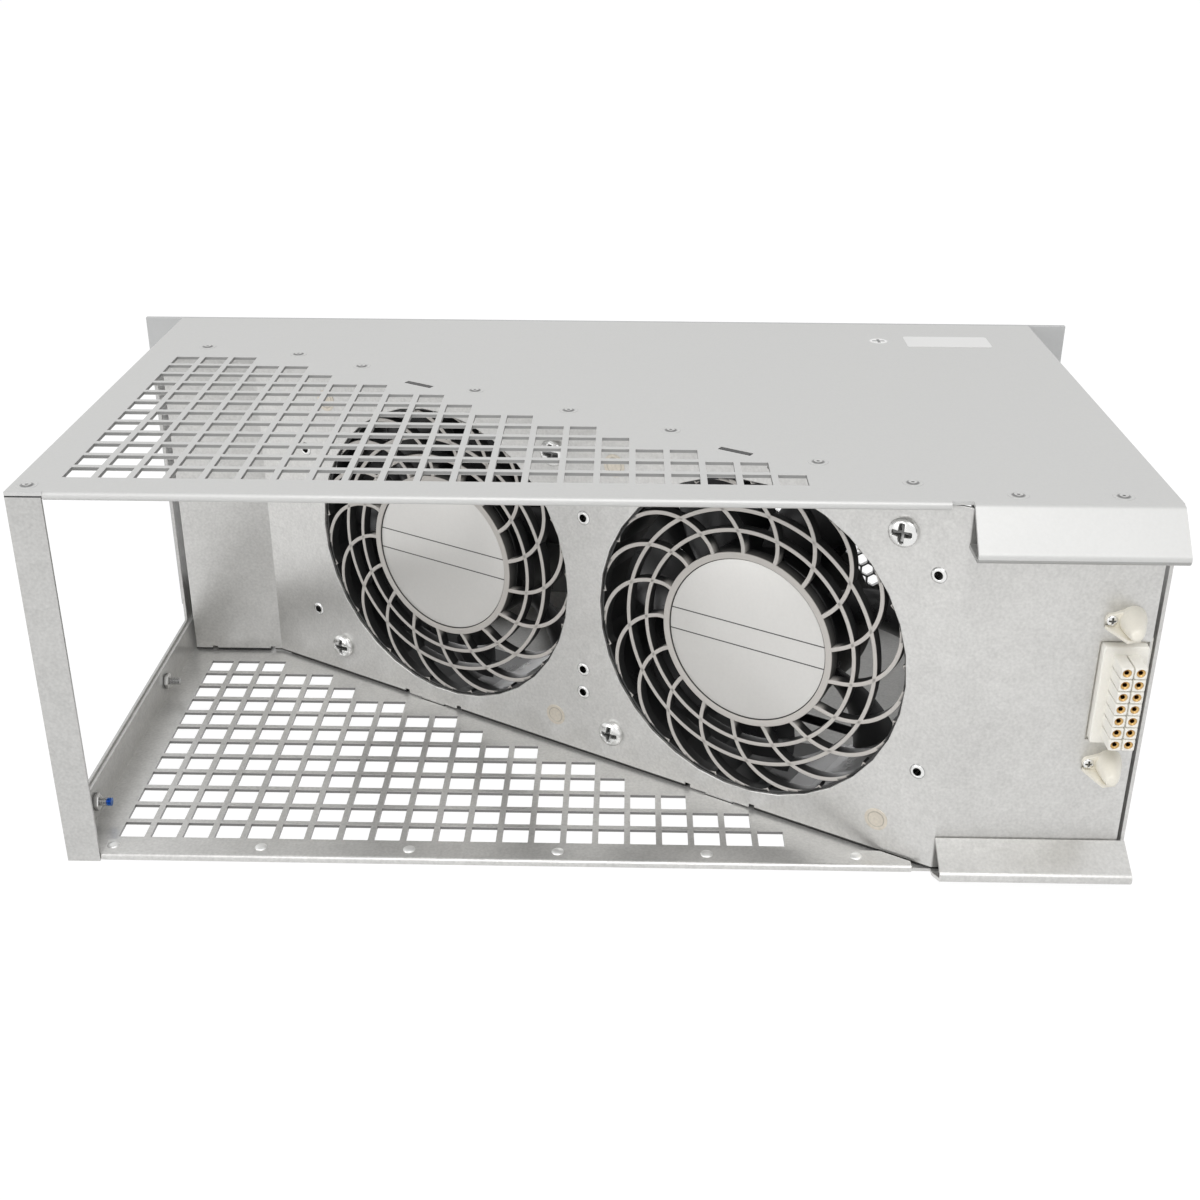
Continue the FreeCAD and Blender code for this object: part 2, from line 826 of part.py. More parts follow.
def on_panel(shape, above):
    """A piece set on the connector panel, its +Z out to the rear."""
    return placed(shape, Vector(connector_x, panel_rear, connector_z + above), across, up, forward * -1)


def connector_housing():
    half_width = cutout_width / 2 - shoulder_gap
    half_height = cutout_height / 2 - shoulder_gap
    shoulder = box(-half_width, half_width, -half_height, half_height, -body_back, shoulder_reach)
    rim_width = half_width + body_flange_margin
    rim_height = half_height + body_flange_margin
    rim = box(-rim_width, rim_width, -rim_height, rim_height, -sheet - body_flange, -sheet)
    body = fused([shoulder, rim] + square_bars(silo_size, shoulder_reach, silo_reach))
    return on_panel(body.cut(Part.makeCompound(square_bars(silo_bore, 0, silo_reach))), 0)


def connector_contacts():
    return on_panel(Part.makeCompound(square_bars(contact_size, 0, silo_reach - contact_recess)), 0)


def guide_horn():
    """A tapered horn on a pointed ear."""
    horn = taper(horn_radius, horn_tip, motor_sides, 0, horn_reach)
    corners = [
        Vector(0, horn_radius, 0), Vector(-ear_reach, ear_tip, 0), Vector(-ear_reach, -ear_tip, 0),
        Vector(0, -horn_radius, 0),
    ]
    ear = Part.Face(Part.makePolygon(corners + corners[:1])).extrude(up * ear_plate)
    return horn.fuse(ear)


def connector_guides():
    horn = guide_horn()
    return Part.makeCompound([on_panel(horn, above) for above in (horn_from_middle, -horn_from_middle)])


def connector_screws():
    head = prism(
        connector_screw_head, small_sides, ear_plate, ear_plate + connector_screw_rise,
        connector_screw_head - ear_reach, 0,
    )
    return Part.makeCompound([on_panel(head, above) for above in (horn_from_middle, -horn_from_middle)])


# Leads from the fans to the back of the connector, along the floor and held there by clips

lead_radius = 2.2
lead_sides = 4
lead_bend = 12.0
bend_chords = 3
lead_floor_gap = 14.0
lead_from_side = 24.0
lead_spread_x = 3.5
lead_spread_z = 9.0
lead_straight = 18.0
clip_length = 8.0
clip_half = 4.0
lead_z = mid_height - lead_drop
fan_end = sheet / 2 + fan_depth


def lead_points(side):
    """A lead's route: out of its block, along the floor, up at the right side and into the connector's back."""
    hand = 1 if side == "left" else -1
    start = fan_centres[side] + along * lead_side - up * lead_drop + through * (fan_flange + lead_block_depth)
    last = Vector(
        connector_x + hand * lead_spread_x, panel_rear + body_back, connector_z - hand * lead_spread_z
    )
    above = last + forward * lead_straight
    if side == "left":
        turn = start + through * (fan_end + lead_floor_gap - sheet / 2 - fan_flange - lead_block_depth)
        run = (right_side - lead_from_side - turn.x) / along.x
        foot = turn + along * run
    else:
        turn = start + through * lead_floor_gap
        foot = turn + across * ((right_side - turn.x) * 0.4) - forward * (lead_floor_gap / 4)
    return [start, turn, foot, above, last]


def lead(side):
    points = lead_points(side)
    section = placed(polygon(lead_radius, lead_sides, 0), points[0], along, up, through * -1)
    return lead_along(section, points, lead_bend)


def lead_clips():
    """Saddles on the floor, two under the long lead and one under the short one."""
    clips = []
    for side, shares in (("left", (0.3, 0.7)), ("right", (0.5,))):
        turn, foot = lead_points(side)[1:3]
        heading = (foot - turn).normalize()
        saddle = lead(side)
        for share in shares:
            middle = turn + (foot - turn) * share
            block = box(-clip_half, clip_half, sheet - lead_z, 0, -clip_length / 2, clip_length / 2)
            clips.append(placed(block, middle, up.cross(heading), up, heading).cut(saddle))
    return Part.makeCompound(clips)


# Faceplate with its ears, vent windows and a tab for the cover's screw

window_margin = 10.0
window_side = 10.0
window_band = 44.0
ferrule_radius = 4.0
ear_middle = right_side + ear_width / 2
windows = [
    (left_side + window_side, -window_band / 2),
    (window_band / 2, right_side - window_side),
]


def on_plate(shape, x, z):
    """A piece set on the faceplate, its +Z pointing forward and its zero at the plate's back."""
    return placed(shape, Vector(x, front, z), across, up * -1, forward)


def faceplate():
    outer = right_side + ear_width
    blank = box(-outer, outer, front, front + plate, 0, height)
    tab = box(
        cover_screw_x - plate_tab_half, cover_screw_x + plate_tab_half, cover_screw_y - plate_tab_beyond, front,
        ceiling - sheet, ceiling,
    )
    cutters = [box(x0, x1, front, front + plate, window_margin, height - window_margin) for x0, x1 in windows]
    for x in (-ear_middle, ear_middle):
        cutters.append(on_plate(prism(ferrule_radius, motor_sides, 0, plate), x, mid_height))
    cutters.append(
        prism(cover_screw_radius, small_sides, ceiling - sheet, ceiling, cover_screw_x, cover_screw_y)
    )
    return fused([blank, tab]).cut(Part.makeCompound(cutters))


# Honeycomb vents in the faceplate's windows

cell_pitch = 34.0
cell_web = 4.0
vent_frame = 3.0


def vent_honeycomb(x0, x1):
    slab = box(x0, x1, front, front + plate, window_margin, height - window_margin)
    radius = (cell_pitch - cell_web) / math.sqrt(3)
    row_pitch = cell_pitch * math.sqrt(3) / 2
    rows = int((height - 2 * window_margin - 2 * vent_frame - 2 * radius) / row_pitch) + 1
    columns = int((x1 - x0 - 2 * vent_frame) / cell_pitch - 0.5)
    cell = prism(radius, 6, 0, plate)
    cell.rotate(Vector(0, 0, 0), up, 30)
    cells = []
    for row in range(rows):
        z = mid_height + (row - (rows - 1) / 2) * row_pitch
        for column in range(columns):
            shift = column - (columns - 1) / 2 + (0.25 if row % 2 else -0.25)
            cells.append(on_plate(cell, (x0 + x1) / 2 + shift * cell_pitch, z))
    return slab.cut(Part.makeCompound(cells))


# Pull handle: a bent strap with two feet, and the screws that hold it

handle_width = 14.0
handle_thickness = 2.5
handle_reach = 32.0
handle_grip = 76.0
handle_foot = 13.0
handle_bend = 5.0
handle_screw_head = 3.6
handle_screw_rise = 2.2


def handle():
    half = handle_grip / 2
    base = front + plate + handle_thickness / 2
    profile = [
        (base, mid_height - half - handle_foot),
        (base, mid_height - half),
        (base + handle_reach, mid_height - half),
        (base + handle_reach, mid_height + half),
        (base, mid_height + half),
        (base, mid_height + half + handle_foot),
    ]
    strap = folded_strip(profile, handle_thickness, handle_bend, handle_width)
    return placed(strap, Vector(-handle_width / 2, 0, 0), forward, up, across)


def handle_screws():
    seat = plate + handle_thickness
    offset = handle_grip / 2 + handle_foot * 0.65
    head = prism(handle_screw_head, small_sides, seat, seat + handle_screw_rise)
    return Part.makeCompound([on_plate(head, 0, mid_height + z) for z in (-offset, offset)])


# Captive thumb screws on the ears: a ferrule in the plate, a spring, and a screw that turns and pushes in

ferrule_flange = 6.2
ferrule_flange_thickness = 1.2
ferrule_length = 9.0
ferrule_bore = 3.0
ferrule_wall = 1.2
screw_radius = 2.0
screw_neck = 1.7
screw_tip = 4.0
collar_radius = 2.55
collar_length = 2.5
spring_inner = 2.5
spring_outer = 3.6
spring_length = 8.0
knob_radius = 6.0
knob_length = 14.0
face_gap = 0.1
ferrule_mouth = (screw_radius + turn_gap / 5) / math.cos(math.pi / motor_sides)


def screw_ferrule(x):
    cavity = ferrule_length - ferrule_wall
    body = fused([
        prism(ferrule_radius, motor_sides, 0, ferrule_length),
        prism(ferrule_flange, motor_sides, plate, plate + ferrule_flange_thickness),
    ])
    bores = [prism(ferrule_bore, motor_sides, 0, cavity), prism(ferrule_mouth, motor_sides, cavity, ferrule_length)]
    return on_plate(body.cut(Part.makeCompound(bores)), x, mid_height)


def screw_spring(x):
    coil = tube(spring_outer, spring_inner, small_sides, ferrule_length, ferrule_length + spring_length)
    return on_plate(coil, x, mid_height)


def captive_screw(x):
    collar_end = ferrule_length - ferrule_wall - face_gap
    knob_base = ferrule_length + spring_length + face_gap
    screw = fused([
        cylinder(screw_radius, -screw_tip, 0),
        prism(screw_neck, motor_sides, 0, knob_base),
        prism(collar_radius, motor_sides, collar_end - collar_length, collar_end),
        prism(knob_radius, motor_sides, knob_base, knob_base + knob_length),
    ])
    return on_plate(screw, x, mid_height)


# Screws through the left rail, and the countersunk screw of the cover

rail_screw_head = 2.8
rail_screw_rise = 1.8
rail_screw_end = 6.0


def rail_screws():
    shanks = rail_bars(rail_screw_radius, left_side, left_inside + sheet + rail_screw_end)
    heads = rail_bars(rail_screw_head, left_side - rail_screw_rise, left_side)
    return Part.makeCompound([shank.fuse(head) for shank, head in zip(shanks.Solids, heads.Solids)])


def cover_screw():
    shank = prism(cover_screw_radius, small_sides, ceiling - sheet, ceiling)
    head = taper(cover_screw_radius, cover_screw_head, small_sides, ceiling, height)
    return shank.fuse(head).translated(Vector(cover_screw_x, cover_screw_y, 0))


# All pieces by name

pieces = {
    "top_cover": top_cover(),
    "bottom_tray": bottom_tray(),
    "left_side_frame": left_side_frame(),
    "bulkhead": bulkhead(),
    "bulkhead_inserts": bulkhead_inserts(),
    "faceplate": faceplate(),
    "left_vent": vent_honeycomb(*windows[0]),
    "right_vent": vent_honeycomb(*windows[1]),
    "handle": handle(),
    "handle_screws": handle_screws(),
    "fan_screws": fan_screws(),
    "connector_housing": connector_housing(),
    "connector_contacts": connector_contacts(),
    "connector_guides": connector_guides(),
    "connector_screws": connector_screws(),
    "lead_clips": lead_clips(),
    "rail_screws": rail_screws(),
    "cover_screw": cover_screw(),
}
for side, ear_x in (("left", -ear_middle), ("right", ear_middle)):
    pieces[side + "_fan_frame"] = fan_frame(side)
    pieces[side + "_fan_guard"] = fan_guard(side)
    pieces[side + "_fan_label"] = fan_label(side)
    pieces[side + "_fan_board"] = fan_board(side)
    pieces[side + "_fan_stator"] = fan_stator(side)
    pieces[side + "_fan_windings"] = fan_windings(side)
    pieces[side + "_fan_bearings"] = fan_bearings(side)
    pieces[side + "_fan_shaft"] = fan_shaft(side)
    pieces[side + "_fan_magnet"] = fan_magnet(side)
    pieces[side + "_fan_impeller"] = fan_impeller(side)
    pieces[side + "_fan_lead"] = lead(side)
    pieces[side + "_screw_ferrule"] = screw_ferrule(ear_x)
    pieces[side + "_screw_spring"] = screw_spring(ear_x)
    pieces[side + "_captive_screw"] = captive_screw(ear_x)

os.makedirs("parts", exist_ok=True)
for name, shape in pieces.items():
    shape.exportStep("parts/" + name + ".step")
    state = "valid" if shape.isValid() else "not valid"
    print(name, len(shape.Solids), "solids", round(shape.Volume / 1000, 2), "cm3", state)
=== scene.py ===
import json
import math

import bmesh
import bpy
import mathutils
import numpy as np
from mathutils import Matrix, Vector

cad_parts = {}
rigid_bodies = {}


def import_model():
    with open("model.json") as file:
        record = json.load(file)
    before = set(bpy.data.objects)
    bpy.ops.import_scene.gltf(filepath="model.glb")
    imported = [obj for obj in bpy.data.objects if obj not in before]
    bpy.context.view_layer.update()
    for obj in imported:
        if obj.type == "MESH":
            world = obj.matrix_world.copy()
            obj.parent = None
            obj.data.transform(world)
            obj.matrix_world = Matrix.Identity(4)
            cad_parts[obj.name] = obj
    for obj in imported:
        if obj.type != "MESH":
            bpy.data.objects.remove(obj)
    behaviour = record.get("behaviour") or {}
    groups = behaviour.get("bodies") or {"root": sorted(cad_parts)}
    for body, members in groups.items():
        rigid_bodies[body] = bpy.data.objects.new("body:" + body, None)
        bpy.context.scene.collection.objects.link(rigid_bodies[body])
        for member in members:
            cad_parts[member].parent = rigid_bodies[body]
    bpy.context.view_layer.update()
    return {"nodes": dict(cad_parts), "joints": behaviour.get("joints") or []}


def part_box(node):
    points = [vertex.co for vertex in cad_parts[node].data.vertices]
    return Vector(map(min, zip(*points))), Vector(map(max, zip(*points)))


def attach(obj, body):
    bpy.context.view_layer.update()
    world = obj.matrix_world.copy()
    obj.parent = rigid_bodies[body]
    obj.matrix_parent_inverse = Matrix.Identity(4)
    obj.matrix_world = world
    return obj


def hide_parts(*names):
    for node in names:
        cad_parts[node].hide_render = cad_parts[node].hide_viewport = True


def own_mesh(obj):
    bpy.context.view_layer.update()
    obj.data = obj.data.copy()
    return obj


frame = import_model()


# Bottom tray: galvanised steel sheet punched with square holes, its rear edge hemmed, its right
# wall and left rail bent up. The zinc shows a soft mottle of crystals and a fine rolled grain.

mm = 0.001
sheet = 1.2 * mm
sheet_edge = 0.22 * mm
holes_from_rear = 11.0 * mm
holes_from_side = 5.0 * mm
rear_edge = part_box("left_side_frame")[0].y
left_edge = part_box("left_side_frame")[0].x
tray_tint = (0.62, 0.615, 0.60)
# Partly real, partly painted shade: the hole walls get this dark tint for the bare cut steel and for
# the shade inside the holes.
cut_steel_and_shade = (0.20, 0.198, 0.195)


def feed(tree, socket, value):
    """Sets a socket to a value, or links it to another node's output."""
    if isinstance(value, bpy.types.NodeSocket):
        tree.links.new(value, socket)
    else:
        socket.default_value = value


def bare_tree(owner):
    """The node tree of a material or world, emptied."""
    owner.use_nodes = True
    owner.node_tree.nodes.clear()
    return owner.node_tree


def add_node(tree, kind, **sockets):
    """A node of one kind with its named sockets fed."""
    node = tree.nodes.new("ShaderNode" + kind)
    for name, value in sockets.items():
        feed(tree, node.inputs[name.replace("_", " ")], value)
    return node


def add_math(tree, operation, *values):
    """One arithmetic step on values or outputs."""
    node = add_node(tree, "Math")
    node.operation = operation
    for socket, value in zip(node.inputs, values):
        feed(tree, socket, value)
    return node.outputs[0]


def effect_group(name, scale_name, scale, effect):
    """A node group from place, tint, contrast, scale and gloss to colour, roughness and height, with
    value = 1 + contrast * change; effect(group, place, scale, gloss) makes the change."""
    group = bpy.data.node_groups.new(name, "ShaderNodeTree")
    inputs = {"Place": "Vector", "Tint": "Color"}
    inputs |= dict.fromkeys(("Contrast", scale_name, "Gloss"), "Float")
    outputs = {"Color": "Color", "Roughness": "Float", "Height": "Float"}
    for way, sockets in (("INPUT", inputs), ("OUTPUT", outputs)):
        for label, kind in sockets.items():
            socket = group.interface.new_socket(label, in_out=way, socket_type="NodeSocket" + kind)
            if label == scale_name:
                socket.default_value = scale
    given = group.nodes.new("NodeGroupInput").outputs
    change, gloss, height = effect(group, given["Place"], given[scale_name], given["Gloss"])
    value = add_math(group, "MULTIPLY_ADD", change, given["Contrast"], 1.0)
    tinted = add_node(group, "HueSaturation", Color=given["Tint"], Value=value).outputs[0]
    shown = group.nodes.new("NodeGroupOutput").inputs
    for label, source in zip(outputs, (tinted, gloss, height)):
        group.links.new(source, shown[label])
    return group


def zinc_mottle(group, place, scale, gloss):
    """Zinc on sheet: change = crystal cells + broad clouds + fine grain, each centred on 0; the
    clouds also dull the gloss, and the grain is the height."""
    cells = add_node(group, "TexVoronoi", Vector=place, Scale=scale)
    cell = add_node(group, "SeparateColor", Color=cells.outputs["Color"]).outputs[0]
    cloud = add_node(group, "TexNoise", Vector=place, Scale=26.0, Detail=5.0).outputs[0]
    grain = add_node(group, "TexNoise", Vector=place, Scale=1000.0, Detail=2.5).outputs[0]
    crystals, clouds, grains = (
        add_math(group, "MULTIPLY_ADD", value, share, -share / 2)
        for value, share in ((cell, 0.22), (cloud, 0.9), (grain, 1.6))
    )
    change = add_math(group, "ADD", add_math(group, "ADD", crystals, clouds), grains)
    return change, add_math(group, "MULTIPLY_ADD", clouds, 0.16, gloss), grain


def coat(name, group, tint, bump, depth=0.02 * mm, metallic=0.0, **values):
    """A Principled material whose colour, gloss and bump come from one effect group."""
    material = bpy.data.materials.new(name)
    tree = bare_tree(material)
    effect = add_node(tree, "Group")
    effect.node_tree = group
    place = add_node(tree, "TexCoord").outputs["Object"]
    for label, value in (values | {"Place": place, "Tint": (*tint, 1.0)}).items():
        feed(tree, effect.inputs[label], value)
    height = effect.outputs["Height"]
    relief = add_node(tree, "Bump", Strength=bump, Distance=depth, Height=height)
    shader = add_node(
        tree, "BsdfPrincipled", Base_Color=effect.outputs["Color"], Metallic=metallic,
        Roughness=effect.outputs["Roughness"], Normal=relief.outputs[0],
    )
    add_node(tree, "OutputMaterial", Surface=shader.outputs[0])
    return material


def retint(material, mask_of, tint):
    """The material turned to another tint where the mask that mask_of makes in its tree is 1."""
    tree = material.node_tree
    shader = next(node for node in tree.nodes if node.type == "BSDF_PRINCIPLED")
    colour = shader.inputs["Base Color"]
    mix = add_node(tree, "Mix")
    mix.data_type = "RGBA"
    feed(tree, mix.inputs[0], mask_of(tree))
    feed(tree, mix.inputs[6], colour.links[0].from_socket)
    feed(tree, mix.inputs[7], (*tint, 1.0))
    tree.links.new(mix.outputs[2], colour)
    return material


def shaded_place(tree):
    """The x, y and z of the place being shaded, in the part's own frame."""
    place = add_node(tree, "TexCoord").outputs["Object"]
    return add_node(tree, "SeparateXYZ", Vector=place).outputs


def punched_shade_at(level):
    """A mask of the hole walls inside a sheet at that level, off its bent edges: bare cut steel,
    darkened further as painted shade.
    """
    def mask_of(tree):
        x, y, z = shaded_place(tree)
        inside = add_math(tree, "COMPARE", z, level, (sheet - sheet_edge) / 2)
        ahead = add_math(tree, "GREATER_THAN", y, rear_edge + holes_from_rear)
        between = add_math(tree, "COMPARE", x, 0.0, -left_edge - holes_from_side)
        return add_math(tree, "MULTIPLY", add_math(tree, "MULTIPLY", inside, ahead), between)
    return mask_of


def dress(node, material, edge, segments=2):
    """Gives a solid piece its finish, joins its corners and breaks its edges."""
    piece = frame["nodes"][node]
    piece.data.materials.clear()
    piece.data.materials.append(material)
    piece.modifiers.new("joined_corners", "WELD").merge_threshold = 0.002 * mm
    broken = piece.modifiers.new("broken_edges", "BEVEL")
    broken.width = edge
    broken.segments = segments
    broken.limit_method = "ANGLE"
    broken.angle_limit = math.radians(40)
    piece.modifiers.new("even_shading", "WEIGHTED_NORMAL").keep_sharp = True


zinc = effect_group("zinc_mottle", "Crystal", 160.0, zinc_mottle)
sheet_zinc = dict(bump=0.12, depth=0.05 * mm, Contrast=0.24, Crystal=260.0, Gloss=0.34)
punched_sheet = coat("punched_sheet", zinc, tray_tint, metallic=0.62, **sheet_zinc)
# The tray's hole walls are painted dark: partly bare cut steel, partly painted shade.
dress("bottom_tray", retint(punched_sheet, punched_shade_at(sheet / 2), cut_steel_and_shade), sheet_edge)


# Sill buttons: the clinched joints of the tray's hem show as a row of round buttons on the sill,
# formed out of the sheet itself and tinted brighter than the sheet around them.

button_radius = 2.1 * mm
button_rise = 0.65 * mm
button_from_rear = 5.6 * mm
button_first = 14.0 * mm
button_pitch = 50.25 * mm
buttons = 6
hem_top = 2.8 * mm


def grid_faces(shape, wrap_u, wrap_v):
    """Corner numbers of all quads of a stack of equal grids: each cell joins (i, j), (i+1, j),
    (i+1, j+1) and (i, j+1), going round where a direction is closed."""
    numbers = np.arange(math.prod(shape)).reshape(shape)
    if wrap_u:
        numbers = np.concatenate([numbers, numbers[:, :1]], 1)
    if wrap_v:
        numbers = np.concatenate([numbers, numbers[:, :, :1]], 2)
    corners = [numbers[:, :-1, :-1], numbers[:, 1:, :-1], numbers[:, 1:, 1:], numbers[:, :-1, 1:]]
    return np.stack(corners, -1).reshape(-1, 4)


def make_piece(name, grids, material, slot, *stands_for, body="chassis", sharp=35):
    """One mesh from surface grids (points, closed along u, closed along v), set on its body."""
    points, faces, start = [], [], 0
    for surface, wrap_u, wrap_v in grids:
        stack = surface if surface.ndim == 4 else surface[None]
        points.append(stack.reshape(-1, 3))
        faces.append(grid_faces(stack.shape[:3], wrap_u, wrap_v) + start)
        start += stack.size // 3
    mesh = bpy.data.meshes.new(name)
    mesh.from_pydata(np.concatenate(points).tolist(), [], np.concatenate(faces).tolist())
    work = bmesh.new()
    work.from_mesh(mesh)
    bmesh.ops.remove_doubles(work, verts=work.verts, dist=0.001 * mm)
    bmesh.ops.recalc_face_normals(work, faces=work.faces)
    work.to_mesh(mesh)
    work.free()
    mesh.shade_smooth()
    mesh.set_sharp_from_angle(angle=math.radians(sharp))
    mesh.materials.append(material)
    piece = bpy.data.objects.new(name, mesh)
    bpy.context.scene.collection.objects.link(piece)
    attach(piece, body)
    if stands_for:
        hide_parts(*stands_for)
    return piece


def once_round(count):
    """Angles once round, evenly spaced."""
    return np.linspace(0, 2 * np.pi, count, endpoint=False)


def polar(radius, angle, z):
    """Points about Z: x = r cos a, y = r sin a, z."""
    return np.stack(np.broadcast_arrays(radius * np.cos(angle), radius * np.sin(angle), z), -1)


def turned(profile, count):
    """A profile of (radius, height) points turned about Z."""
    radius, height = np.asarray(profile, float).T
    return polar(radius, once_round(count)[:, None], height)


def set_at(points, origin, axes):
    """Local points moved to a place: origin + x * first axis + y * second + z * third."""
    return np.asarray(origin, float) + points @ np.asarray(axes, float)


def set_out(surfaces, places, axes, wrap_u=True, wrap_v=False):
    """Grids of the same surfaces at each of several places."""
    return [(set_at(s, place, axes), wrap_u, wrap_v) for place in places for s in surfaces]


upright = np.eye(3)
button_zinc = coat(
    "button_zinc", zinc, (0.86, 0.86, 0.85), metallic=0.7, bump=0.03,
    Contrast=0.05, Crystal=700.0, Gloss=0.36,
)
bow = np.linspace(0, 1, 9) * np.pi / 2
button = np.column_stack([button_radius * np.cos(bow), button_rise * np.sin(bow)])
button_xs = left_edge + button_first + np.arange(buttons) * button_pitch
button_places = [(x, rear_edge + button_from_rear, hem_top) for x in button_xs]
button_row = set_out([turned(button, 40)], button_places, upright)
make_piece("sill_buttons", button_row, button_zinc, "zinc_fastener")


# Left side frame: a folded post, rail and wall of the same galvanised sheet, open between them, held
# to the tray's rail by two pan-head screws whose nuts and ends stand out inside.

# Painted shade: the frame is the same galvanised sheet as the tray and bulkhead, but its tint is set
# darker so that the post reads as less lit.
shaded_frame_tint = (0.55, 0.547, 0.535)
# Painted shade: this near-black tint is mixed into metal parts wherever their vertices are marked as
# recess, groove or foot, standing in for the shade that falls there.
crevice_shade_tint = (0.05, 0.05, 0.05)
lock_blue = (0.03, 0.14, 0.46)
lock_length = 1.5 * mm
rail_head = 2.8 * mm
rail_shank = 1.5 * mm
rail_nut = 2.75 * mm
nut_seat = -2 * sheet
nut_steps = [(0.9, 0.0), (1.0, 0.2), (1.0, 1.7), (0.88, 2.0)]
thread_pitch = 0.7 * mm
cover_gap = 0.5 * mm
recess_arm = 0.66
recess_half = 0.155
recess_soft = 0.05
recess_depth = 0.75
# Painted shade: how dark the cross recess of a screw head is painted.
recess_shade = 0.85
recess_foot = -0.2 * mm


def cross_mask(x, y):
    """1 on a cross of two arms and 0 off it, for places as shares of the head's radius."""
    def arm(along, across):
        inside = np.clip((recess_half + recess_soft - np.abs(across)) / (2 * recess_soft), 0, 1)
        return inside * np.clip((recess_arm + recess_soft - np.abs(along)) / (2 * recess_soft), 0, 1)

    return np.maximum(arm(x, y), arm(y, x))


def cross_head(radius, edge, rise, count, rings=40):
    """A pan head with a cross recess: height = edge + (rise - edge) (1 - (r/R)^2.6)^0.6, less a cross
    of two arms that is deepest in the middle and shelves towards its tips."""
    share = np.linspace(0, 1, rings)[None, :]
    angle = once_round(count)[:, None]
    x, y = share * np.cos(angle), share * np.sin(angle)
    depth = recess_depth * rise * (1 - 0.6 * (share / recess_arm).clip(0, 1) ** 2)
    dome = edge + (rise - edge) * (1 - share ** 2.6) ** 0.6
    return polar(radius * share, angle, dome - cross_mask(x, y) * depth)


def threaded_shank(radius, length):
    """Profile of a threaded end below z = 0: rings a little under pitch/2 deep, closed at its tip."""
    turns = max(2, int(length / thread_pitch))
    z = -np.linspace(0.2, 1, 2 * turns) * length
    r = np.where(np.arange(2 * turns) % 2, radius, radius - 0.45 * thread_pitch)
    tip = [(radius * 0.6, -length), (0, -length)]
    return np.vstack([[(radius, 0)], np.column_stack([r, z]), tip])


def pan_screw(radius, rise, shank, length, count=112):
    """Head and threaded shank of a pan-head screw about Z, its seat at z = 0."""
    edge = 0.42 * rise
    skirt = [[radius, edge], [radius, 0.06 * rise], [radius * 0.96, 0]]
    skirt = np.vstack([skirt, threaded_shank(shank, length)])
    return [cross_head(radius, edge, rise, count), turned(skirt, count)]


def hexagon(apothem, z, count=72):
    """A hexagon at one height: r = apothem / cos(a), a the angle from the nearest flat's middle."""
    angle = once_round(count)
    return polar(apothem / np.cos(np.mod(angle + np.pi / 6, np.pi / 3) - np.pi / 6), angle, z)


def stacked(rings):
    """A surface through a stack of outlines, its ends drawn in to their middles."""
    ends = [np.broadcast_to(ring.mean(0), ring.shape) for ring in (rings[0], rings[-1])]
    return np.stack([ends[0], *rings, ends[1]], 1)


def vertices(piece):
    """The piece's vertices as rows."""
    found = np.zeros(len(piece.data.vertices) * 3, np.float32)
    piece.data.vertices.foreach_get("co", found)
    return found.reshape(-1, 3).astype(float)


def nearest_place(piece, places, axes):
    """Each vertex as seen from the nearest of several places, along the given axes."""
    local = (vertices(piece)[:, None] - np.asarray(places, float)) @ np.asarray(axes, float).T
    nearest = np.linalg.norm(local, axis=2).argmin(1)
    return local[np.arange(len(local)), nearest].T


def paint(piece, name, values):
    """A number for each vertex, for the material to read."""
    layer = piece.data.attributes.new(name, "FLOAT", "POINT")
    layer.data.foreach_set("value", np.asarray(values, np.float32))


def vertex_mask(name):
    """A mask read from the number painted at each vertex."""
    def mask_of(tree):
        mask = add_node(tree, "Attribute")
        mask.attribute_name = name
        return mask.outputs["Fac"]
    return mask_of


def recess_shade_mask(x, y, z, head):
    """How much painted shade a screw gets at its own places: the cross recess in its head."""
    return recess_shade * cross_mask(x / head, y / head) * (z > recess_foot)


def cover_gap_shade(tree):
    """A mask of painted shade along the frame's upper edges, where the cover rests on them."""
    height = shaded_place(tree)[2]
    return add_math(tree, "GREATER_THAN", height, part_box("left_side_frame")[1].z - cover_gap)


galvanised = coat("galvanised_sheet", zinc, shaded_frame_tint, metallic=0.82, **sheet_zinc)
# Painted shade along the frame's upper edges, under the cover.
dress("left_side_frame", retint(galvanised, cover_gap_shade, crevice_shade_tint), sheet_edge)
bright_look = dict(
    tint=(0.80, 0.80, 0.79), metallic=1.0, bump=0.05, Contrast=0.05, Crystal=700.0, Gloss=0.24
)
locked_zinc = coat("locked_zinc", zinc, **bright_look)
retint(locked_zinc, vertex_mask("crevice"), crevice_shade_tint)
retint(locked_zinc, vertex_mask("lock"), lock_blue)
rail_low, rail_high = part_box("rail_screws")
rail_ys = (rail_low.y + rail_head, rail_high.y - rail_head)
rail_places = [(left_edge, y, (rail_low.z + rail_high.z) / 2) for y in rail_ys]
outward_left = [(0, 0, 1), (0, 1, 0), (-1, 0, 0)]
nut = stacked([hexagon(rail_nut * share, nut_seat - down * mm) for share, down in nut_steps])
rail_length = rail_high.x - left_edge
rail_screw = pan_screw(rail_head, rise=1.8 * mm, shank=rail_shank, length=rail_length, count=72)
rail_set = set_out([*rail_screw, nut], rail_places, outward_left)
piece = make_piece("rail_screws_zinc", rail_set, locked_zinc, "zinc_fastener", "rail_screws")
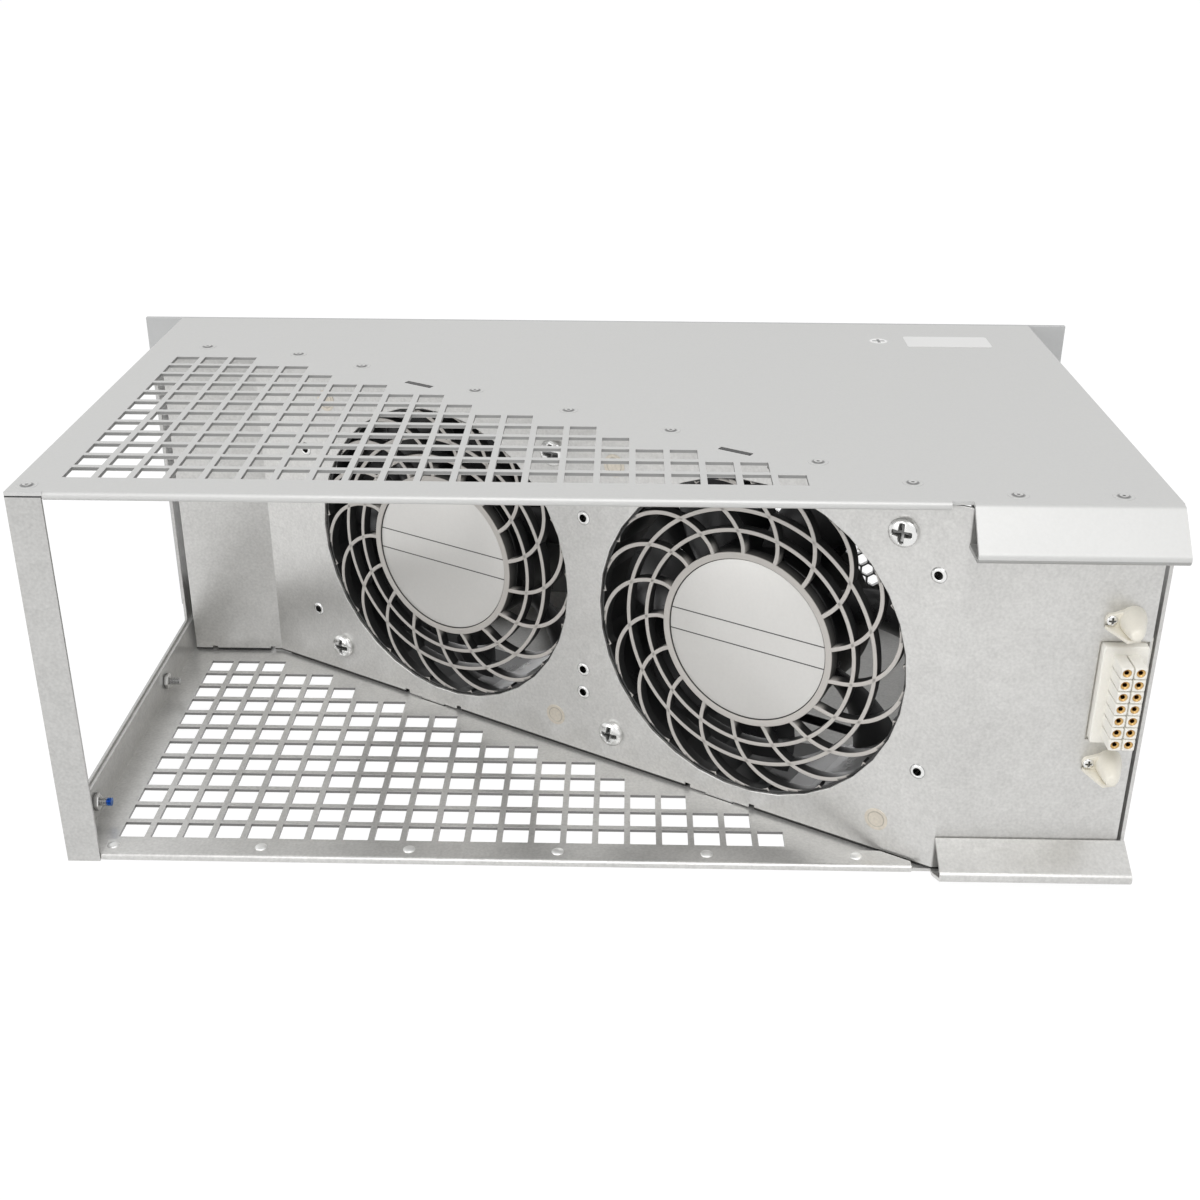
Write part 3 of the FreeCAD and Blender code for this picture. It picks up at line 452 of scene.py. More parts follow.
# Painted shade: the cross recess, the nut's foot against the rail and the thread's grooves are
# darkened for the shade in them; the blue below is real thread-lock paint.
x, y, z = nearest_place(piece, rail_places, outward_left)
nut_foot = (np.hypot(x, y) > rail_nut * 0.85) & (np.abs(z - nut_seat) < 0.3 * mm)
thread = (np.hypot(x, y) < rail_shank * 1.05) & (z < -3 * sheet)
shaded_crevices = [recess_shade_mask(x, y, z, rail_head), 0.8 * nut_foot, 0.55 * thread]
paint(piece, "crevice", np.max(shaded_crevices, axis=0))
x, y, z = vertices(piece).T
paint(piece, "lock", (x > rail_high.x - lock_length) & (y < rail_low.y + 2 * rail_head))


# Bulkhead: one galvanised sheet folded to a left panel, the slanted fan wall and the connector panel,
# with two fan openings, four flush discs on its locating pins, and seven pressed-in threaded inserts.

disc_radius = 4.1 * mm
disc_rise = 0.18 * mm
disc_groove = 0.69
insert_flange = 2.75 * mm
insert_barrel = 2.4 * mm
insert_bore = 1.4 * mm
insert_rise = 0.5 * mm
insert_depth = 4.0 * mm
foot_shade_top = 2.5 * mm
tab_before_fan = 7.0 * mm
tab_room = 12.0 * mm
case_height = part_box("top_cover")[1].z
hole_place = 52.5 * mm
half_pitch = 65.0 * mm
insert_places = {
    "left": [(-half_pitch, 30.5 * mm), (-half_pitch, -39.0 * mm), (half_pitch, 30.5 * mm),
             (half_pitch, -29.5 * mm), (half_pitch, -39.0 * mm)],
    "right": [(half_pitch, 40.8 * mm), (half_pitch, -29.5 * mm)],
}
sides = ("left", "right")
joints = {joint["name"]: joint for joint in frame["joints"]}
through = np.array(joints["left_fan_spin"]["axis"], float)
through /= np.linalg.norm(through)
along = np.array([through[1], -through[0], 0.0])
fan_axes = np.array([along, (0, 0, 1), -through])
fan_place = {side: np.array(joints[side + "_fan_spin"]["pos_m"], float) for side in sides}


def eased(corners, radius, steps):
    """An open outline with each inner corner replaced by the curve a(1-t)^2 + 2pt(1-t) + bt^2, which
    leaves and meets the sides one radius from the corner p."""
    outline = np.asarray(corners, float)
    before, here, after = outline[:-2], outline[1:-1], outline[2:]

    def towards(other):
        gap = other - here
        length = np.linalg.norm(gap, axis=1, keepdims=True)
        return (here + gap / length * np.minimum(radius, length / 2.2))[:, None]

    t = np.linspace(0, 1, steps)[None, :, None]
    curve = towards(before) * (1 - t) ** 2 + 2 * here[:, None] * t * (1 - t) + towards(after) * t ** 2
    return np.vstack([outline[:1], curve.reshape(-1, outline.shape[1]), outline[-1:]])


def on_wall(side, x, y, z=0.0):
    """A place on the fan wall: x along it and y up from the fan's axis, z out to the rear."""
    return set_at(np.array([x, y, z]), fan_place[side], fan_axes)


def seam_shade(tree):
    """A mask of painted shade: along the foot, save beside its tabs, and on the tabs' ends in their
    slots.
    """
    x, y, z = shaded_place(tree)
    run = add_math(tree, "MULTIPLY_ADD", x, along[0], add_math(tree, "MULTIPLY", y, along[1]))
    foot = add_math(tree, "LESS_THAN", z, foot_shade_top)
    for side in sides:
        tab = along @ fan_place[side] - tab_before_fan
        beside = add_math(tree, "COMPARE", run, tab, tab_room)
        foot = add_math(tree, "MULTIPLY", foot, add_math(tree, "SUBTRACT", 1.0, beside))
    ends = add_math(tree, "COMPARE", z, case_height / 2, case_height / 2 - sheet)
    return add_math(tree, "MAXIMUM", foot, add_math(tree, "SUBTRACT", 1.0, ends))


bulkhead_sheet = coat("bulkhead_sheet", zinc, tray_tint, metallic=0.82, **sheet_zinc)
# Painted shade along the wall's foot, for the shadowed groove under its bend, and on the tabs' ends
# in their slots.
dress("bulkhead", retint(bulkhead_sheet, seam_shade, crevice_shade_tint), sheet_edge)
passivated = coat(
    "passivated_zinc", zinc, (0.66, 0.61, 0.53), metallic=0.8, bump=0.1, depth=0.03 * mm,
    Contrast=0.22, Crystal=600.0, Gloss=0.4,
)
retint(passivated, vertex_mask("crevice"), crevice_shade_tint)
disc_shape = np.array([(1, 0), (1, 1), (0.72, 0.8), (0.66, 0.35), (0, 0.4)])
disc = eased(disc_shape * (disc_radius, disc_rise), 0.12 * mm, 4)
disc_middles = [
    on_wall(side, i * hole_place, -i * hole_place, sheet) for side in sides for i in (-1, 1)
]
piece = make_piece(
    "stud_discs", set_out([turned(disc, 56)], disc_middles, fan_axes), passivated, "zinc_fastener"
)
# Painted shade in the ring groove of each disc.
x, y, z = nearest_place(piece, disc_middles, fan_axes)
paint(piece, "crevice", 0.3 * (np.abs(np.hypot(x, y) / disc_radius - disc_groove) < 0.045))
bright_zinc = coat("bright_zinc", zinc, **bright_look)
retint(bright_zinc, vertex_mask("crevice"), crevice_shade_tint)
insert = eased([
    (insert_bore, -insert_depth), (insert_bore, insert_rise), (insert_flange - 0.7 * mm, insert_rise),
    (insert_flange - 0.3 * mm, 0.2 * mm), (insert_flange, 0), (insert_barrel, 0),
    (insert_barrel, -insert_depth), (insert_bore, -insert_depth),
], 0.16 * mm, 4)
insert_middles = [on_wall(side, x, y, sheet) for side in sides for x, y in insert_places[side]]
piece = make_piece(
    "bulkhead_insert_rings", set_out([turned(insert, 48)], insert_middles, fan_axes), bright_zinc,
    "zinc_fastener", "bulkhead_inserts",
)
# Painted shade in each insert's bore and round the rim of its flange.
x, y, z = nearest_place(piece, insert_middles, fan_axes)
radius = np.hypot(x, y)
flange_rim = radius > insert_flange - 0.3 * mm
paint(piece, "crevice", np.where(radius < insert_bore + 0.05 * mm, 0.75, 0.5 * flange_rim))


# Fan housings: black glass-filled plastic mouldings, a duct with a square flange, screwed behind the
# wall. The same black moulding compound makes the impellers.

black = (0.026, 0.026, 0.027)


def moulded_grain(group, place, scale, gloss):
    """Moulded plastic: change = flow clouds + spark-eroded grain - 1; the grain is the height."""
    flow = add_node(group, "TexNoise", Vector=place, Scale=60.0, Detail=3.0).outputs[0]
    grain = add_node(group, "TexNoise", Vector=place, Scale=scale, Detail=1.0).outputs[0]
    change = add_math(group, "SUBTRACT", add_math(group, "ADD", flow, grain), 1.0)
    cloud = add_math(group, "SUBTRACT", flow, 0.5)
    return change, add_math(group, "MULTIPLY_ADD", cloud, 0.2, gloss), grain


moulded = effect_group("moulded_grain", "Grain", 1500.0, moulded_grain)
black_moulding = coat(
    "black_moulding", moulded, black, bump=0.15, depth=0.03 * mm, Contrast=0.35, Gloss=0.3
)
for side in sides:
    dress(side + "_fan_frame", black_moulding, edge=0.35 * mm)


# Motors: driver board, stacked core with copper windings, ring magnet, two ball bearings and a ground
# shaft, all inside the hub cup of each fan.

board_green = coat("board_green", moulded, (0.02, 0.12, 0.05), bump=0.05, Contrast=0.3, Gloss=0.35)
core_steel = coat(
    "core_steel", zinc, (0.16, 0.16, 0.17), metallic=0.8, bump=0.2, depth=0.03 * mm,
    Contrast=0.3, Gloss=0.5,
)
enamelled_copper = coat(
    "enamelled_copper", zinc, (0.62, 0.27, 0.12), metallic=0.9, bump=0.3, depth=0.05 * mm,
    Contrast=0.2, Gloss=0.3,
)
ground_steel = coat(
    "ground_steel", zinc, (0.66, 0.66, 0.67), metallic=1.0, bump=0.03,
    Contrast=0.06, Crystal=900.0, Gloss=0.22,
)
motor_finishes = {
    "board": (board_green, 0.1 * mm), "stator": (core_steel, 0.1 * mm),
    "windings": (enamelled_copper, 0.6 * mm), "bearings": (ground_steel, 0.2 * mm),
    "shaft": (ground_steel, 0.1 * mm), "magnet": (core_steel, 0.3 * mm),
}
for side in sides:
    for part, (finish, edge) in motor_finishes.items():
        dress(side + "_fan_" + part, finish, edge)


# Impellers: a hub cup and seven twisted, cambered blades in one black moulding, pressed on the shaft
# and turning with it.

cup_radius = 31.0 * mm
cup_inside = 28.4 * mm
cup_back = -6.0 * mm
cup_front = -36.0 * mm
cup_floor = cup_front + 2.5 * mm
boss_radius = 5.5 * mm
boss_end = cup_floor + 5.0 * mm
shaft_radius = 2.0 * mm
blades = 7
blade_first = math.radians(-31.0)
blade_lean = math.radians(11.0)
blade_camber = 3.2 * mm
root_and_tip = {
    "radius": (29.6 * mm, 56.2 * mm), "half_turn": (math.radians(19.5), math.radians(16.5)),
    "rear": (-9.5 * mm, -13.1 * mm), "front": (-34.5 * mm, -31.3 * mm), "thick": (2.0 * mm, 1.3 * mm),
}


def blade_surface(turn, spans=20, steps=22):
    """One blade: along the chord t it turns clockwise from half - lean to -half - lean while z runs
    from the rear to the front edge; both sides are set off square to the chord by camber * 4t(1-t)
    plus or minus a thickness of 2.1 * sqrt(t) * (1-t)^0.7, and the blade closes at its tip."""
    out = np.append(np.linspace(0, 1, spans), 1.0)[:, None]
    fill = np.append(np.ones(spans), 0.0)[:, None]
    t = (1 - np.cos(np.linspace(0, np.pi, steps))) / 2
    t = np.concatenate([t, t[-2:0:-1]])[None, :]
    face = np.concatenate([np.ones(steps), -np.ones(steps - 2)])[None, :]
    ends = root_and_tip.values()
    radius, half, rear, front, thick = (root + (tip - root) * out for root, tip in ends)
    lean = blade_lean * out ** 1.3
    chord_x = 2 * half * radius
    chord_z = front - rear
    length = np.hypot(chord_x, chord_z)
    thick = thick * 2.1 * np.sqrt(t) * (1 - t) ** 0.7 / 2
    rise = blade_camber * 4 * t * (1 - t) + face * thick * fill
    arc = radius * (lean - half) + chord_x * t - rise * chord_z / length
    z = rear + chord_z * t + rise * chord_x / length
    return polar(radius, turn - arc / radius, z)


cup = eased([
    (0, cup_front), (cup_radius, cup_front), (cup_radius, cup_back), (cup_inside, cup_back),
    (cup_inside, cup_floor), (boss_radius, cup_floor), (boss_radius, boss_end),
    (shaft_radius, boss_end), (shaft_radius, cup_floor), (0, cup_floor),
], 1.2 * mm, 5)
blade_set = [blade_surface(turn) for turn in blade_first + np.arange(blades) * 2 * np.pi / blades]
for side in sides:
    here = [fan_place[side]]
    impeller = set_out([turned(cup, 96)], here, fan_axes)
    impeller += set_out(blade_set, here, fan_axes, False, True)
    make_piece(
        side + "_impeller_blades", impeller, black_moulding, "black_plastic", side + "_fan_impeller",
        body=side + "_rotor",
    )


# Fan guards: dark mouldings, their bars tinted a warm light grey along the crowns and near black down
# the sides: a hub carried by 17 swept spokes and two rings inside a rim, each spoke flared where it
# joins the rim. The motor's bearing tube is part of the hub.

crown_tint = (0.53, 0.505, 0.475)
hub_radius = 32.0 * mm
hub_rise = 0.9 * mm
hub_inside = hub_radius - 2.4 * mm
hub_floor = 0.02 * mm
guard_depth = 4.0 * mm
ring_radii = (39.4 * mm, 46.8 * mm)
ring_width = 1.45 * mm
rim_inner = 57.0 * mm
rim_outer = 58.8 * mm
bar_round = 0.3 * mm
spokes = 17
spoke_width = 1.5 * mm
spoke_bite = 0.6 * mm
spoke_first = math.radians(9.5)
spoke_lead = math.radians(9.5)
spoke_sweep = math.radians(40.0)
spoke_flare = 1.3
spoke_lift = 1.0 * mm
bearing_tube = 7.2 * mm
bearing_bore = 5.0 * mm
bore_end = -3.0 * mm
tube_end = -24.0 * mm


def bar_section(width):
    """A bar's closed outline of (sideways, out) points, square at its foot, round at its crown."""
    half = width / 2
    foot = -guard_depth
    corners = [(0, foot), (-half, foot), (-half, 0), (half, 0), (half, foot), (0, foot)]
    return eased(corners, bar_round, 4)[:-1]


def carried(path, sideways, section, share=1.0):
    """A section carried along a flat path: point = path + s * w * sideways + (0, 0, o) for each
    (s, o) of the section, with w the share of full width there."""
    reach = section[None, :, 0] * share
    flat = path[:, None, :] + reach[..., None] * sideways[:, None, :]
    rise = np.broadcast_to(section[None, :, 1:], (*flat.shape[:2], 1))
    return np.concatenate([flat, rise], -1)


def rays(angle):
    """Flat rays at the given angles."""
    return np.column_stack([np.cos(angle), np.sin(angle)])


def guard_ring(radius, width, count=408):
    """A ring: the bar's section carried round a circle."""
    ray = rays(once_round(count))
    return carried(radius * ray, ray, bar_section(width))


def spoke_line(run):
    """Places along the first spoke, and rays square to it, for shares of its run: the circle through
    a point on the hub, one on the outer ring and one in the rim."""
    reach = np.array([hub_radius - spoke_bite, ring_radii[1], rim_inner + spoke_bite])
    bearing = np.array([0, spoke_lead, spoke_sweep])
    knots = reach[:, None] * rays(bearing)
    squares = (knots ** 2).sum(1)
    centre = np.linalg.solve(2 * (knots[1:] - knots[0]), squares[1:] - squares[0])
    first, last = np.arctan2(*(knots[[0, 2]] - centre).T[::-1])
    ray = rays(first + math.remainder(last - first, 2 * math.pi) * run)
    return centre + np.linalg.norm(knots[0] - centre) * ray, ray


def flared_bar(path, sideways):
    """A spoke along a flat path, raised to the hub's crown over its first tenth, wider by the flare
    over its last tenth, that closes on its middle line at both ends."""
    run = np.clip(np.linspace(-9, 1, len(path)), 0, 1)[:, None]
    share = 1 + spoke_flare * run ** 2
    share[[0, -1]] = 0
    bar = carried(path, sideways, bar_section(spoke_width), share)
    bar[..., 2] += spoke_lift * run[::-1] ** 2
    return bar


def turned_about(points, turns):
    """Copies of a flat-lying bar turned about the fan's axis, stacked."""
    c, s, none, one = np.cos(turns), np.sin(turns), np.zeros_like(turns), np.ones_like(turns)
    turn = np.array([[c, s, none], [-s, c, none], [none, none, one]])
    return np.einsum("uvi,ijk->kuvj", points, turn)


guard_plastic = coat(
    "guard_plastic", moulded, (0.03, 0.03, 0.03), bump=0.08, depth=0.03 * mm,
    Contrast=0.12, Gloss=0.36,
)
retint(guard_plastic, vertex_mask("ground"), crown_tint)
hub = eased([
    (0, hub_floor), (hub_inside, hub_floor), (hub_inside, hub_rise), (hub_radius, hub_rise),
    (hub_radius, -guard_depth), (bearing_tube, -guard_depth), (bearing_tube, tube_end),
    (bearing_bore, tube_end), (bearing_bore, bore_end), (0, bore_end),
], 0.4 * mm, 5)
rings = [guard_ring(radius, ring_width) for radius in ring_radii]
rings += [guard_ring((rim_inner + rim_outer) / 2, rim_outer - rim_inner)]
spoke_turns = spoke_first + np.arange(spokes) * 2 * np.pi / spokes
spoke_bars = turned_about(flared_bar(*spoke_line(np.linspace(0, 1, 81))), spoke_turns)
for side in sides:
    here = [fan_place[side]]
    guard = set_out([turned(hub, 136)], here, fan_axes)
    guard += set_out(rings, here, fan_axes, True, True)
    guard += set_out([spoke_bars], here, fan_axes, False, True)
    piece = make_piece(side + "_guard", guard, guard_plastic, "guard_plastic", side + "_fan_guard")
    # The light tint is set by height: full on the bars' crowns, none down their sides or on the rim.
    x, y, z = nearest_place(piece, here, fan_axes)
    radius = np.hypot(x, y)
    bar_crown = np.clip((z + 0.3 * mm) / (0.2 * mm), 0, 1)
    hub_crown = np.clip((z - 0.45 * mm) / (0.3 * mm), 0, 1)
    ground = np.where(radius < hub_radius + 0.05 * mm, hub_crown, bar_crown)
    paint(piece, "ground", ground * (radius < rim_inner - 0.05 * mm))


# Hub labels: discs of satin silver foil, die cut and stuck in the recess of each hub. They are bare
# but for two fine printed rules.

label_radius = 29.3 * mm
label_top = 0.3 * mm
label_foot = 0.05 * mm
rule_ink = (0.09, 0.09, 0.09)
rule_heights = (5.3 * mm, -2.7 * mm)
rule_width = 0.45 * mm


def near_rules(tree):
    """A mask of the printed rules: 1 within half a rule's width of a rule's height on the label."""
    height = shaded_place(tree)[2]
    heights = [fan_place["left"][2] + rule for rule in rule_heights]
    near = [add_math(tree, "COMPARE", height, rule, rule_width / 2) for rule in heights]
    return add_math(tree, "MAXIMUM", *near)


foil = coat(
    "label_foil", zinc, (0.66, 0.65, 0.63), metallic=0.55, bump=0.04,
    Contrast=0.04, Crystal=300.0, Gloss=0.36,
)
retint(foil, near_rules, rule_ink)
label = [(0, label_top), (label_radius, label_top), (label_radius, label_foot), (0, label_foot)]
label = turned(eased(label, 0.1 * mm, 3), 136)
for side in sides:
    disc_grid = set_out([label], [fan_place[side]], fan_axes)
    make_piece(side + "_label", disc_grid, foil, "label_foil", side + "_fan_label")


# Fan screws: zinc-plated steel pan heads with a cross recess, two to each fan. They go through the
# wall and cut their thread in the flange of the housing behind it.

fan_head = 4.9 * mm


def cross_screws(name, surfaces, places, axes, head, node):
    """A set of bright screws that stand for one node, with painted shade in the recesses of their
    heads.
    """
    piece = make_piece(name, set_out(surfaces, places, axes), bright_zinc, "zinc_fastener", node)
    paint(piece, "crevice", recess_shade_mask(*nearest_place(piece, places, axes), head))


fan_screw = pan_screw(fan_head, rise=2.8 * mm, shank=1.95 * mm, length=10.2 * mm)
fan_screw_places = [
    on_wall(side, i * hole_place, i * hole_place, sheet) for side in sides for i in (-1, 1)
]
cross_screws("fan_screws_zinc", fan_screw, fan_screw_places, fan_axes, fan_head, "fan_screws")


# Leads: bundles of insulated wires in a black sleeve, led from the fans along the floor to the
# connector. Moulded saddle clips hold them to the tray.

sleeve = coat(
    "lead_sleeve", moulded, (0.03, 0.03, 0.032), bump=0.4, depth=0.08 * mm,
    Contrast=0.4, Grain=900.0, Gloss=0.5,
)
clip_plastic = coat(
    "clip_plastic", moulded, (0.72, 0.71, 0.67), bump=0.1, depth=0.03 * mm, Contrast=0.1, Gloss=0.4
)
for side in sides:
    dress(side + "_fan_lead", sleeve, edge=0.95 * mm, segments=3)
dress("lead_clips", clip_plastic, edge=0.4 * mm)


# Connector: an ivory moulding of two columns of seven square silos on a shoulder, snapped into the
# panel's cut-out, with a round mouth in each silo and a plated socket inside it.

silo_rows = 7
silo_columns = 2
silo_pitch = 4.2 * mm
silo_half = 1.9 * mm
silo_reach = 12.0 * mm
shoulder_reach = 3.0 * mm
shoulder_half = (7.1 * mm, 17.1 * mm)
latch_half = (9.1 * mm, 19.1 * mm)
latch_depth = 2.5 * mm
mouth_radius = 1.38 * mm
mouth_floor = 1.0 * mm
socket_radius = 1.35 * mm
socket_foot = 1.2 * mm
socket_floor = 1.6 * mm
ivory = (0.88, 0.86, 0.80)
panel_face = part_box("bulkhead")[0].y
housing_low, housing_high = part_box("connector_housing")
connector_x = (housing_low.x + housing_high.x) / 2
connector_z = (housing_low.z + housing_high.z) / 2
connector_place = (connector_x, panel_face, connector_z)
panel_axes = [(1, 0, 0), (0, 0, 1), (0, -1, 0)]


def squared_ring(half_x, half_y, corner, z, count=64):
    """A rounded rectangle at one height: each ray is cut where the p-norm of (x/hx, y/hy) is 1, with
    p = 2 for a circle and higher for squarer corners."""
    angle = once_round(count) + np.pi / count
    across, up = np.abs(np.cos(angle) / half_x), np.abs(np.sin(angle) / half_y)
    return polar((across ** corner + up ** corner) ** (-1 / corner), angle, z)


def silo():
    """One silo: square outside with broken edges, its face dished into a round mouth and a bore."""
    steps = [
        (silo_half, 14, shoulder_reach - 0.5 * mm), (silo_half, 14, silo_reach - 0.3 * mm),
        (silo_half - 0.12 * mm, 12, silo_reach - 0.08 * mm), (silo_half - 0.3 * mm, 10, silo_reach),
        (mouth_radius + 0.18 * mm, 2, silo_reach), (mouth_radius, 2, silo_reach - 0.2 * mm),
        (mouth_radius, 2, mouth_floor),
    ]
    return stacked([squared_ring(half, half, corner, z) for half, corner, z in steps])


def block(half_x, half_y, z0, z1, edge, corner=40):
    """A moulded block with broken edges, as a stack of rounded rectangles."""
    steps = [(edge, z0), (0, z0 + edge), (0, z1 - edge), (edge, z1)]
    return stacked([squared_ring(half_x - i, half_y - i, corner, z, 128) for i, z in steps])


ivory_plastic = coat("ivory_plastic", moulded, ivory, bump=0.06, Contrast=0.08, Gloss=0.36)
plated_socket = coat(
    "plated_socket", zinc, (0.62, 0.40, 0.16), metallic=1.0, bump=0.05,
    Contrast=0.15, Crystal=900.0, Gloss=0.28,
)
silo_xs = (np.arange(silo_columns) - (silo_columns - 1) / 2) * silo_pitch
silo_ys = (np.arange(silo_rows) - (silo_rows - 1) / 2) * silo_pitch
silo_shifts = [np.array([x, y, 0.0]) for x in silo_xs for y in silo_ys]
housing = [
    block(*shoulder_half, panel_face - housing_high.y, shoulder_reach, 0.4 * mm),
    block(*latch_half, -sheet - latch_depth, -sheet, 0.3 * mm),
]
housing += [silo() + shift for shift in silo_shifts]
make_piece(
    "connector_moulding", set_out(housing, [connector_place], panel_axes), ivory_plastic,
    "ivory_plastic", "connector_housing",
)
socket = turned([
    (socket_radius, socket_foot), (socket_radius, silo_reach - 0.45 * mm),
    (socket_radius - 0.1 * mm, silo_reach - 0.4 * mm),
    (socket_radius - 0.65 * mm, silo_reach - 0.75 * mm), (socket_radius - 0.7 * mm, socket_floor),
    (0, socket_floor),
], 32)
sockets = [socket + shift for shift in silo_shifts]
make_piece(
    "connector_sockets", set_out(sockets, [connector_place], panel_axes), plated_socket,
    "contact_brass", "connector_contacts",
)


# Guide horns: stout tapered ivory posts with rounded tips above and below the connector, each on a
# pointed ear with a small screw in it and a thin fin from the ear's point to the horn's tip.

horn_foot = 3.8 * mm
horn_wide = 4.3 * mm
horn_tip = 2.2 * mm
horn_reach = 12.5 * mm
horn_lean = 2.2 * mm
horn_shift = 1.0 * mm
fin_half = 0.5 * mm
fin_foot = 0.4 * mm
ear_reach = 7.4 * mm
ear_point = 1.9 * mm
ear_plate = 1.6 * mm
ear_edge = 0.2 * mm
ear_head = 1.7 * mm
horn_low, horn_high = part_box("connector_guides")
horn_x = horn_high.x - horn_foot
horn_zs = (horn_low.z + horn_foot, horn_high.z - horn_foot)


def ear_ring(z, inset):
    """The ear's outline: half of the horn's foot, drawn out to a blunt point with straight flanks."""
    def arc(start, count, middle, radius):
        return (middle, 0) + radius * rays(start + np.linspace(0, np.pi, count))

    foot = arc(-np.pi / 2, 33, 0, horn_foot - inset)
    outline = np.vstack([foot, arc(np.pi / 2, 31, ear_point - ear_reach, ear_point - inset)])
    return np.column_stack([outline, np.full(len(outline), z)])


horn_plastic = coat(
    "horn_plastic", moulded, (0.86, 0.825, 0.73), bump=0.06, Contrast=0.1, Gloss=0.34
)
horn = turned(eased([
    (horn_wide, 0), (horn_wide - 0.1 * mm, 2.6 * mm), (horn_tip + 0.4 * mm, horn_reach - 2.0 * mm),
    (horn_tip - 0.5 * mm, horn_reach), (0, horn_reach),
], 1.6 * mm, 7), 64)
horn[..., 0] += horn_shift - horn_lean * horn[..., 2] / horn_reach
fin_middle = -ear_head - 2 * fin_half
fin_x, fin_z = np.transpose([
    (0.2 * mm - ear_reach, fin_foot), (0.5 * mm - ear_reach, 1.9 * mm),
    (horn_shift - horn_lean - horn_tip, horn_reach - 1.6 * mm),
    (horn_shift, horn_reach - 2.6 * mm), (horn_shift, fin_foot),
])
fin_ys = (fin_middle - fin_half, fin_middle + fin_half)
fin = stacked([np.column_stack([fin_x, np.full(len(fin_x), y), fin_z]) for y in fin_ys])
ear = stacked([ear_ring(0, 0), ear_ring(ear_plate - ear_edge, 0), ear_ring(ear_plate, ear_edge)])
horn_places = [(horn_x, panel_face, z) for z in horn_zs]
make_piece(
    "guide_horns", set_out([horn, fin, ear], horn_places, panel_axes), horn_plastic,
    "ivory_plastic", "connector_guides",
)
ear_screw = pan_screw(ear_head, rise=0.8 * mm, shank=0.8 * mm, length=1.2 * mm, count=64)
ear_screw_places = [(horn_x - ear_reach + ear_head, panel_face - ear_plate, z) for z in horn_zs]
cross_screws("ear_screws", ear_screw, ear_screw_places, panel_axes, ear_head, "connector_screws")


# Faceplate: a 2 mm plate with an ear at each side and two vent windows, spray painted satin grey. The
# pull handle is a bent strap in the same paint.

paint_tint = (0.52, 0.525, 0.525)
satin_paint = coat(
    "satin_paint", moulded, paint_tint, metallic=0.15, bump=0.12, depth=0.04 * mm,
    Contrast=0.06, Grain=2600.0, Gloss=0.38,
)
dress("faceplate", satin_paint, edge=0.3 * mm)
dress("handle", satin_paint, edge=0.7 * mm, segments=3)


# Honeycomb vents: thin plates punched with close hexagons, set in the faceplate's windows as a screen
# against stray fields and fingers.

cell_pitch = 5.8 * mm
cell_web = 0.8 * mm
vent_border = 2.4 * mm
least_cell = 0.05 * mm


def honeycomb_plate(low, high):
    """A plate of hexagon cells: whole cells are rings of outer and inner corners, front and back, and
    the cells at the border are filled and drawn in to the plate's outline."""
    row_pitch = cell_pitch * math.sqrt(3) / 2
    columns = int((high.x - low.x) / cell_pitch) + 3
    rows = int((high.z - low.z) / row_pitch) + 3
    row, column = np.meshgrid(np.arange(rows), np.arange(columns), indexing="ij")
    stagger = np.where(row % 2, 0.25, -0.25)
    x = (low.x + high.x) / 2 + (column - (columns - 1) / 2 + stagger) * cell_pitch
    z = (low.z + high.z) / 2 + (row - (rows - 1) / 2) * row_pitch
    centres = np.stack([x, z], -1).reshape(-1, 1, 2)
    corners = rays(np.radians(30 + 60 * np.arange(6))) / math.sqrt(3)
    outer = centres + cell_pitch * corners
    inner = centres + (cell_pitch - cell_web) * corners
    first, last = np.array([low.x, low.z]), np.array([high.x, high.z])
    whole = ((inner > first + vent_border) & (inner < last - vent_border)).all((1, 2))
    clipped = np.clip(outer, first, last)
    spread = np.ptp(clipped, axis=1).min(1) > least_cell

    def at_depth(flat, y):
        return np.stack([flat[..., 0], np.full(flat.shape[:-1], y), flat[..., 1]], -1)

    ring_steps = ((clipped, high.y), (inner, high.y), (inner, low.y), (clipped, low.y))
    rings = [at_depth(flat[whole], y) for flat, y in ring_steps]
    filled = clipped[~whole & spread]
    halves = np.stack([filled[:, [0, 1, 2]], filled[:, [5, 4, 3]]], 1)
    border = np.array([(low.x, low.z), (high.x, low.z), (high.x, high.z), (low.x, high.z)])
    return [
        (np.stack(rings, 2), True, False),
        (at_depth(halves, high.y), False, False),
        (at_depth(halves, low.y)[:, ::-1], False, False),
        (np.stack([at_depth(border, low.y), at_depth(border, high.y)], 1), True, False),
    ]


vent_metal = coat(
    "vent_metal", zinc, (0.30, 0.30, 0.30), metallic=0.7, bump=0.05, Contrast=0.06, Gloss=0.4
)
for side in sides:
    cells = honeycomb_plate(*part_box(side + "_vent"))
    make_piece(side + "_honeycomb", cells, vent_metal, "honeycomb", side + "_vent", sharp=25)


# Handle screws: two zinc-plated pan heads with a cross recess, driven from the front through the
# handle's feet into the faceplate.

handle_head = 3.6 * mm
foot_low, foot_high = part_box("handle_screws")
front_axes = [(1, 0, 0), (0, 0, -1), (0, 1, 0)]
handle_screw = pan_screw(handle_head, rise=2.2 * mm, shank=1.5 * mm, length=2.4 * mm, count=96)
handle_zs = (foot_low.z + handle_head, foot_high.z - handle_head)
handle_places = [(0, foot_low.y, z) for z in handle_zs]
cross_screws(
    "handle_screws_zinc", handle_screw, handle_places, front_axes, handle_head, "handle_screws"
)


# Captive screws: a flared ferrule in each ear, a coil spring on its end, and a knurled thumb screw
# that turns freely and pushes in against the spring until its thread catches.

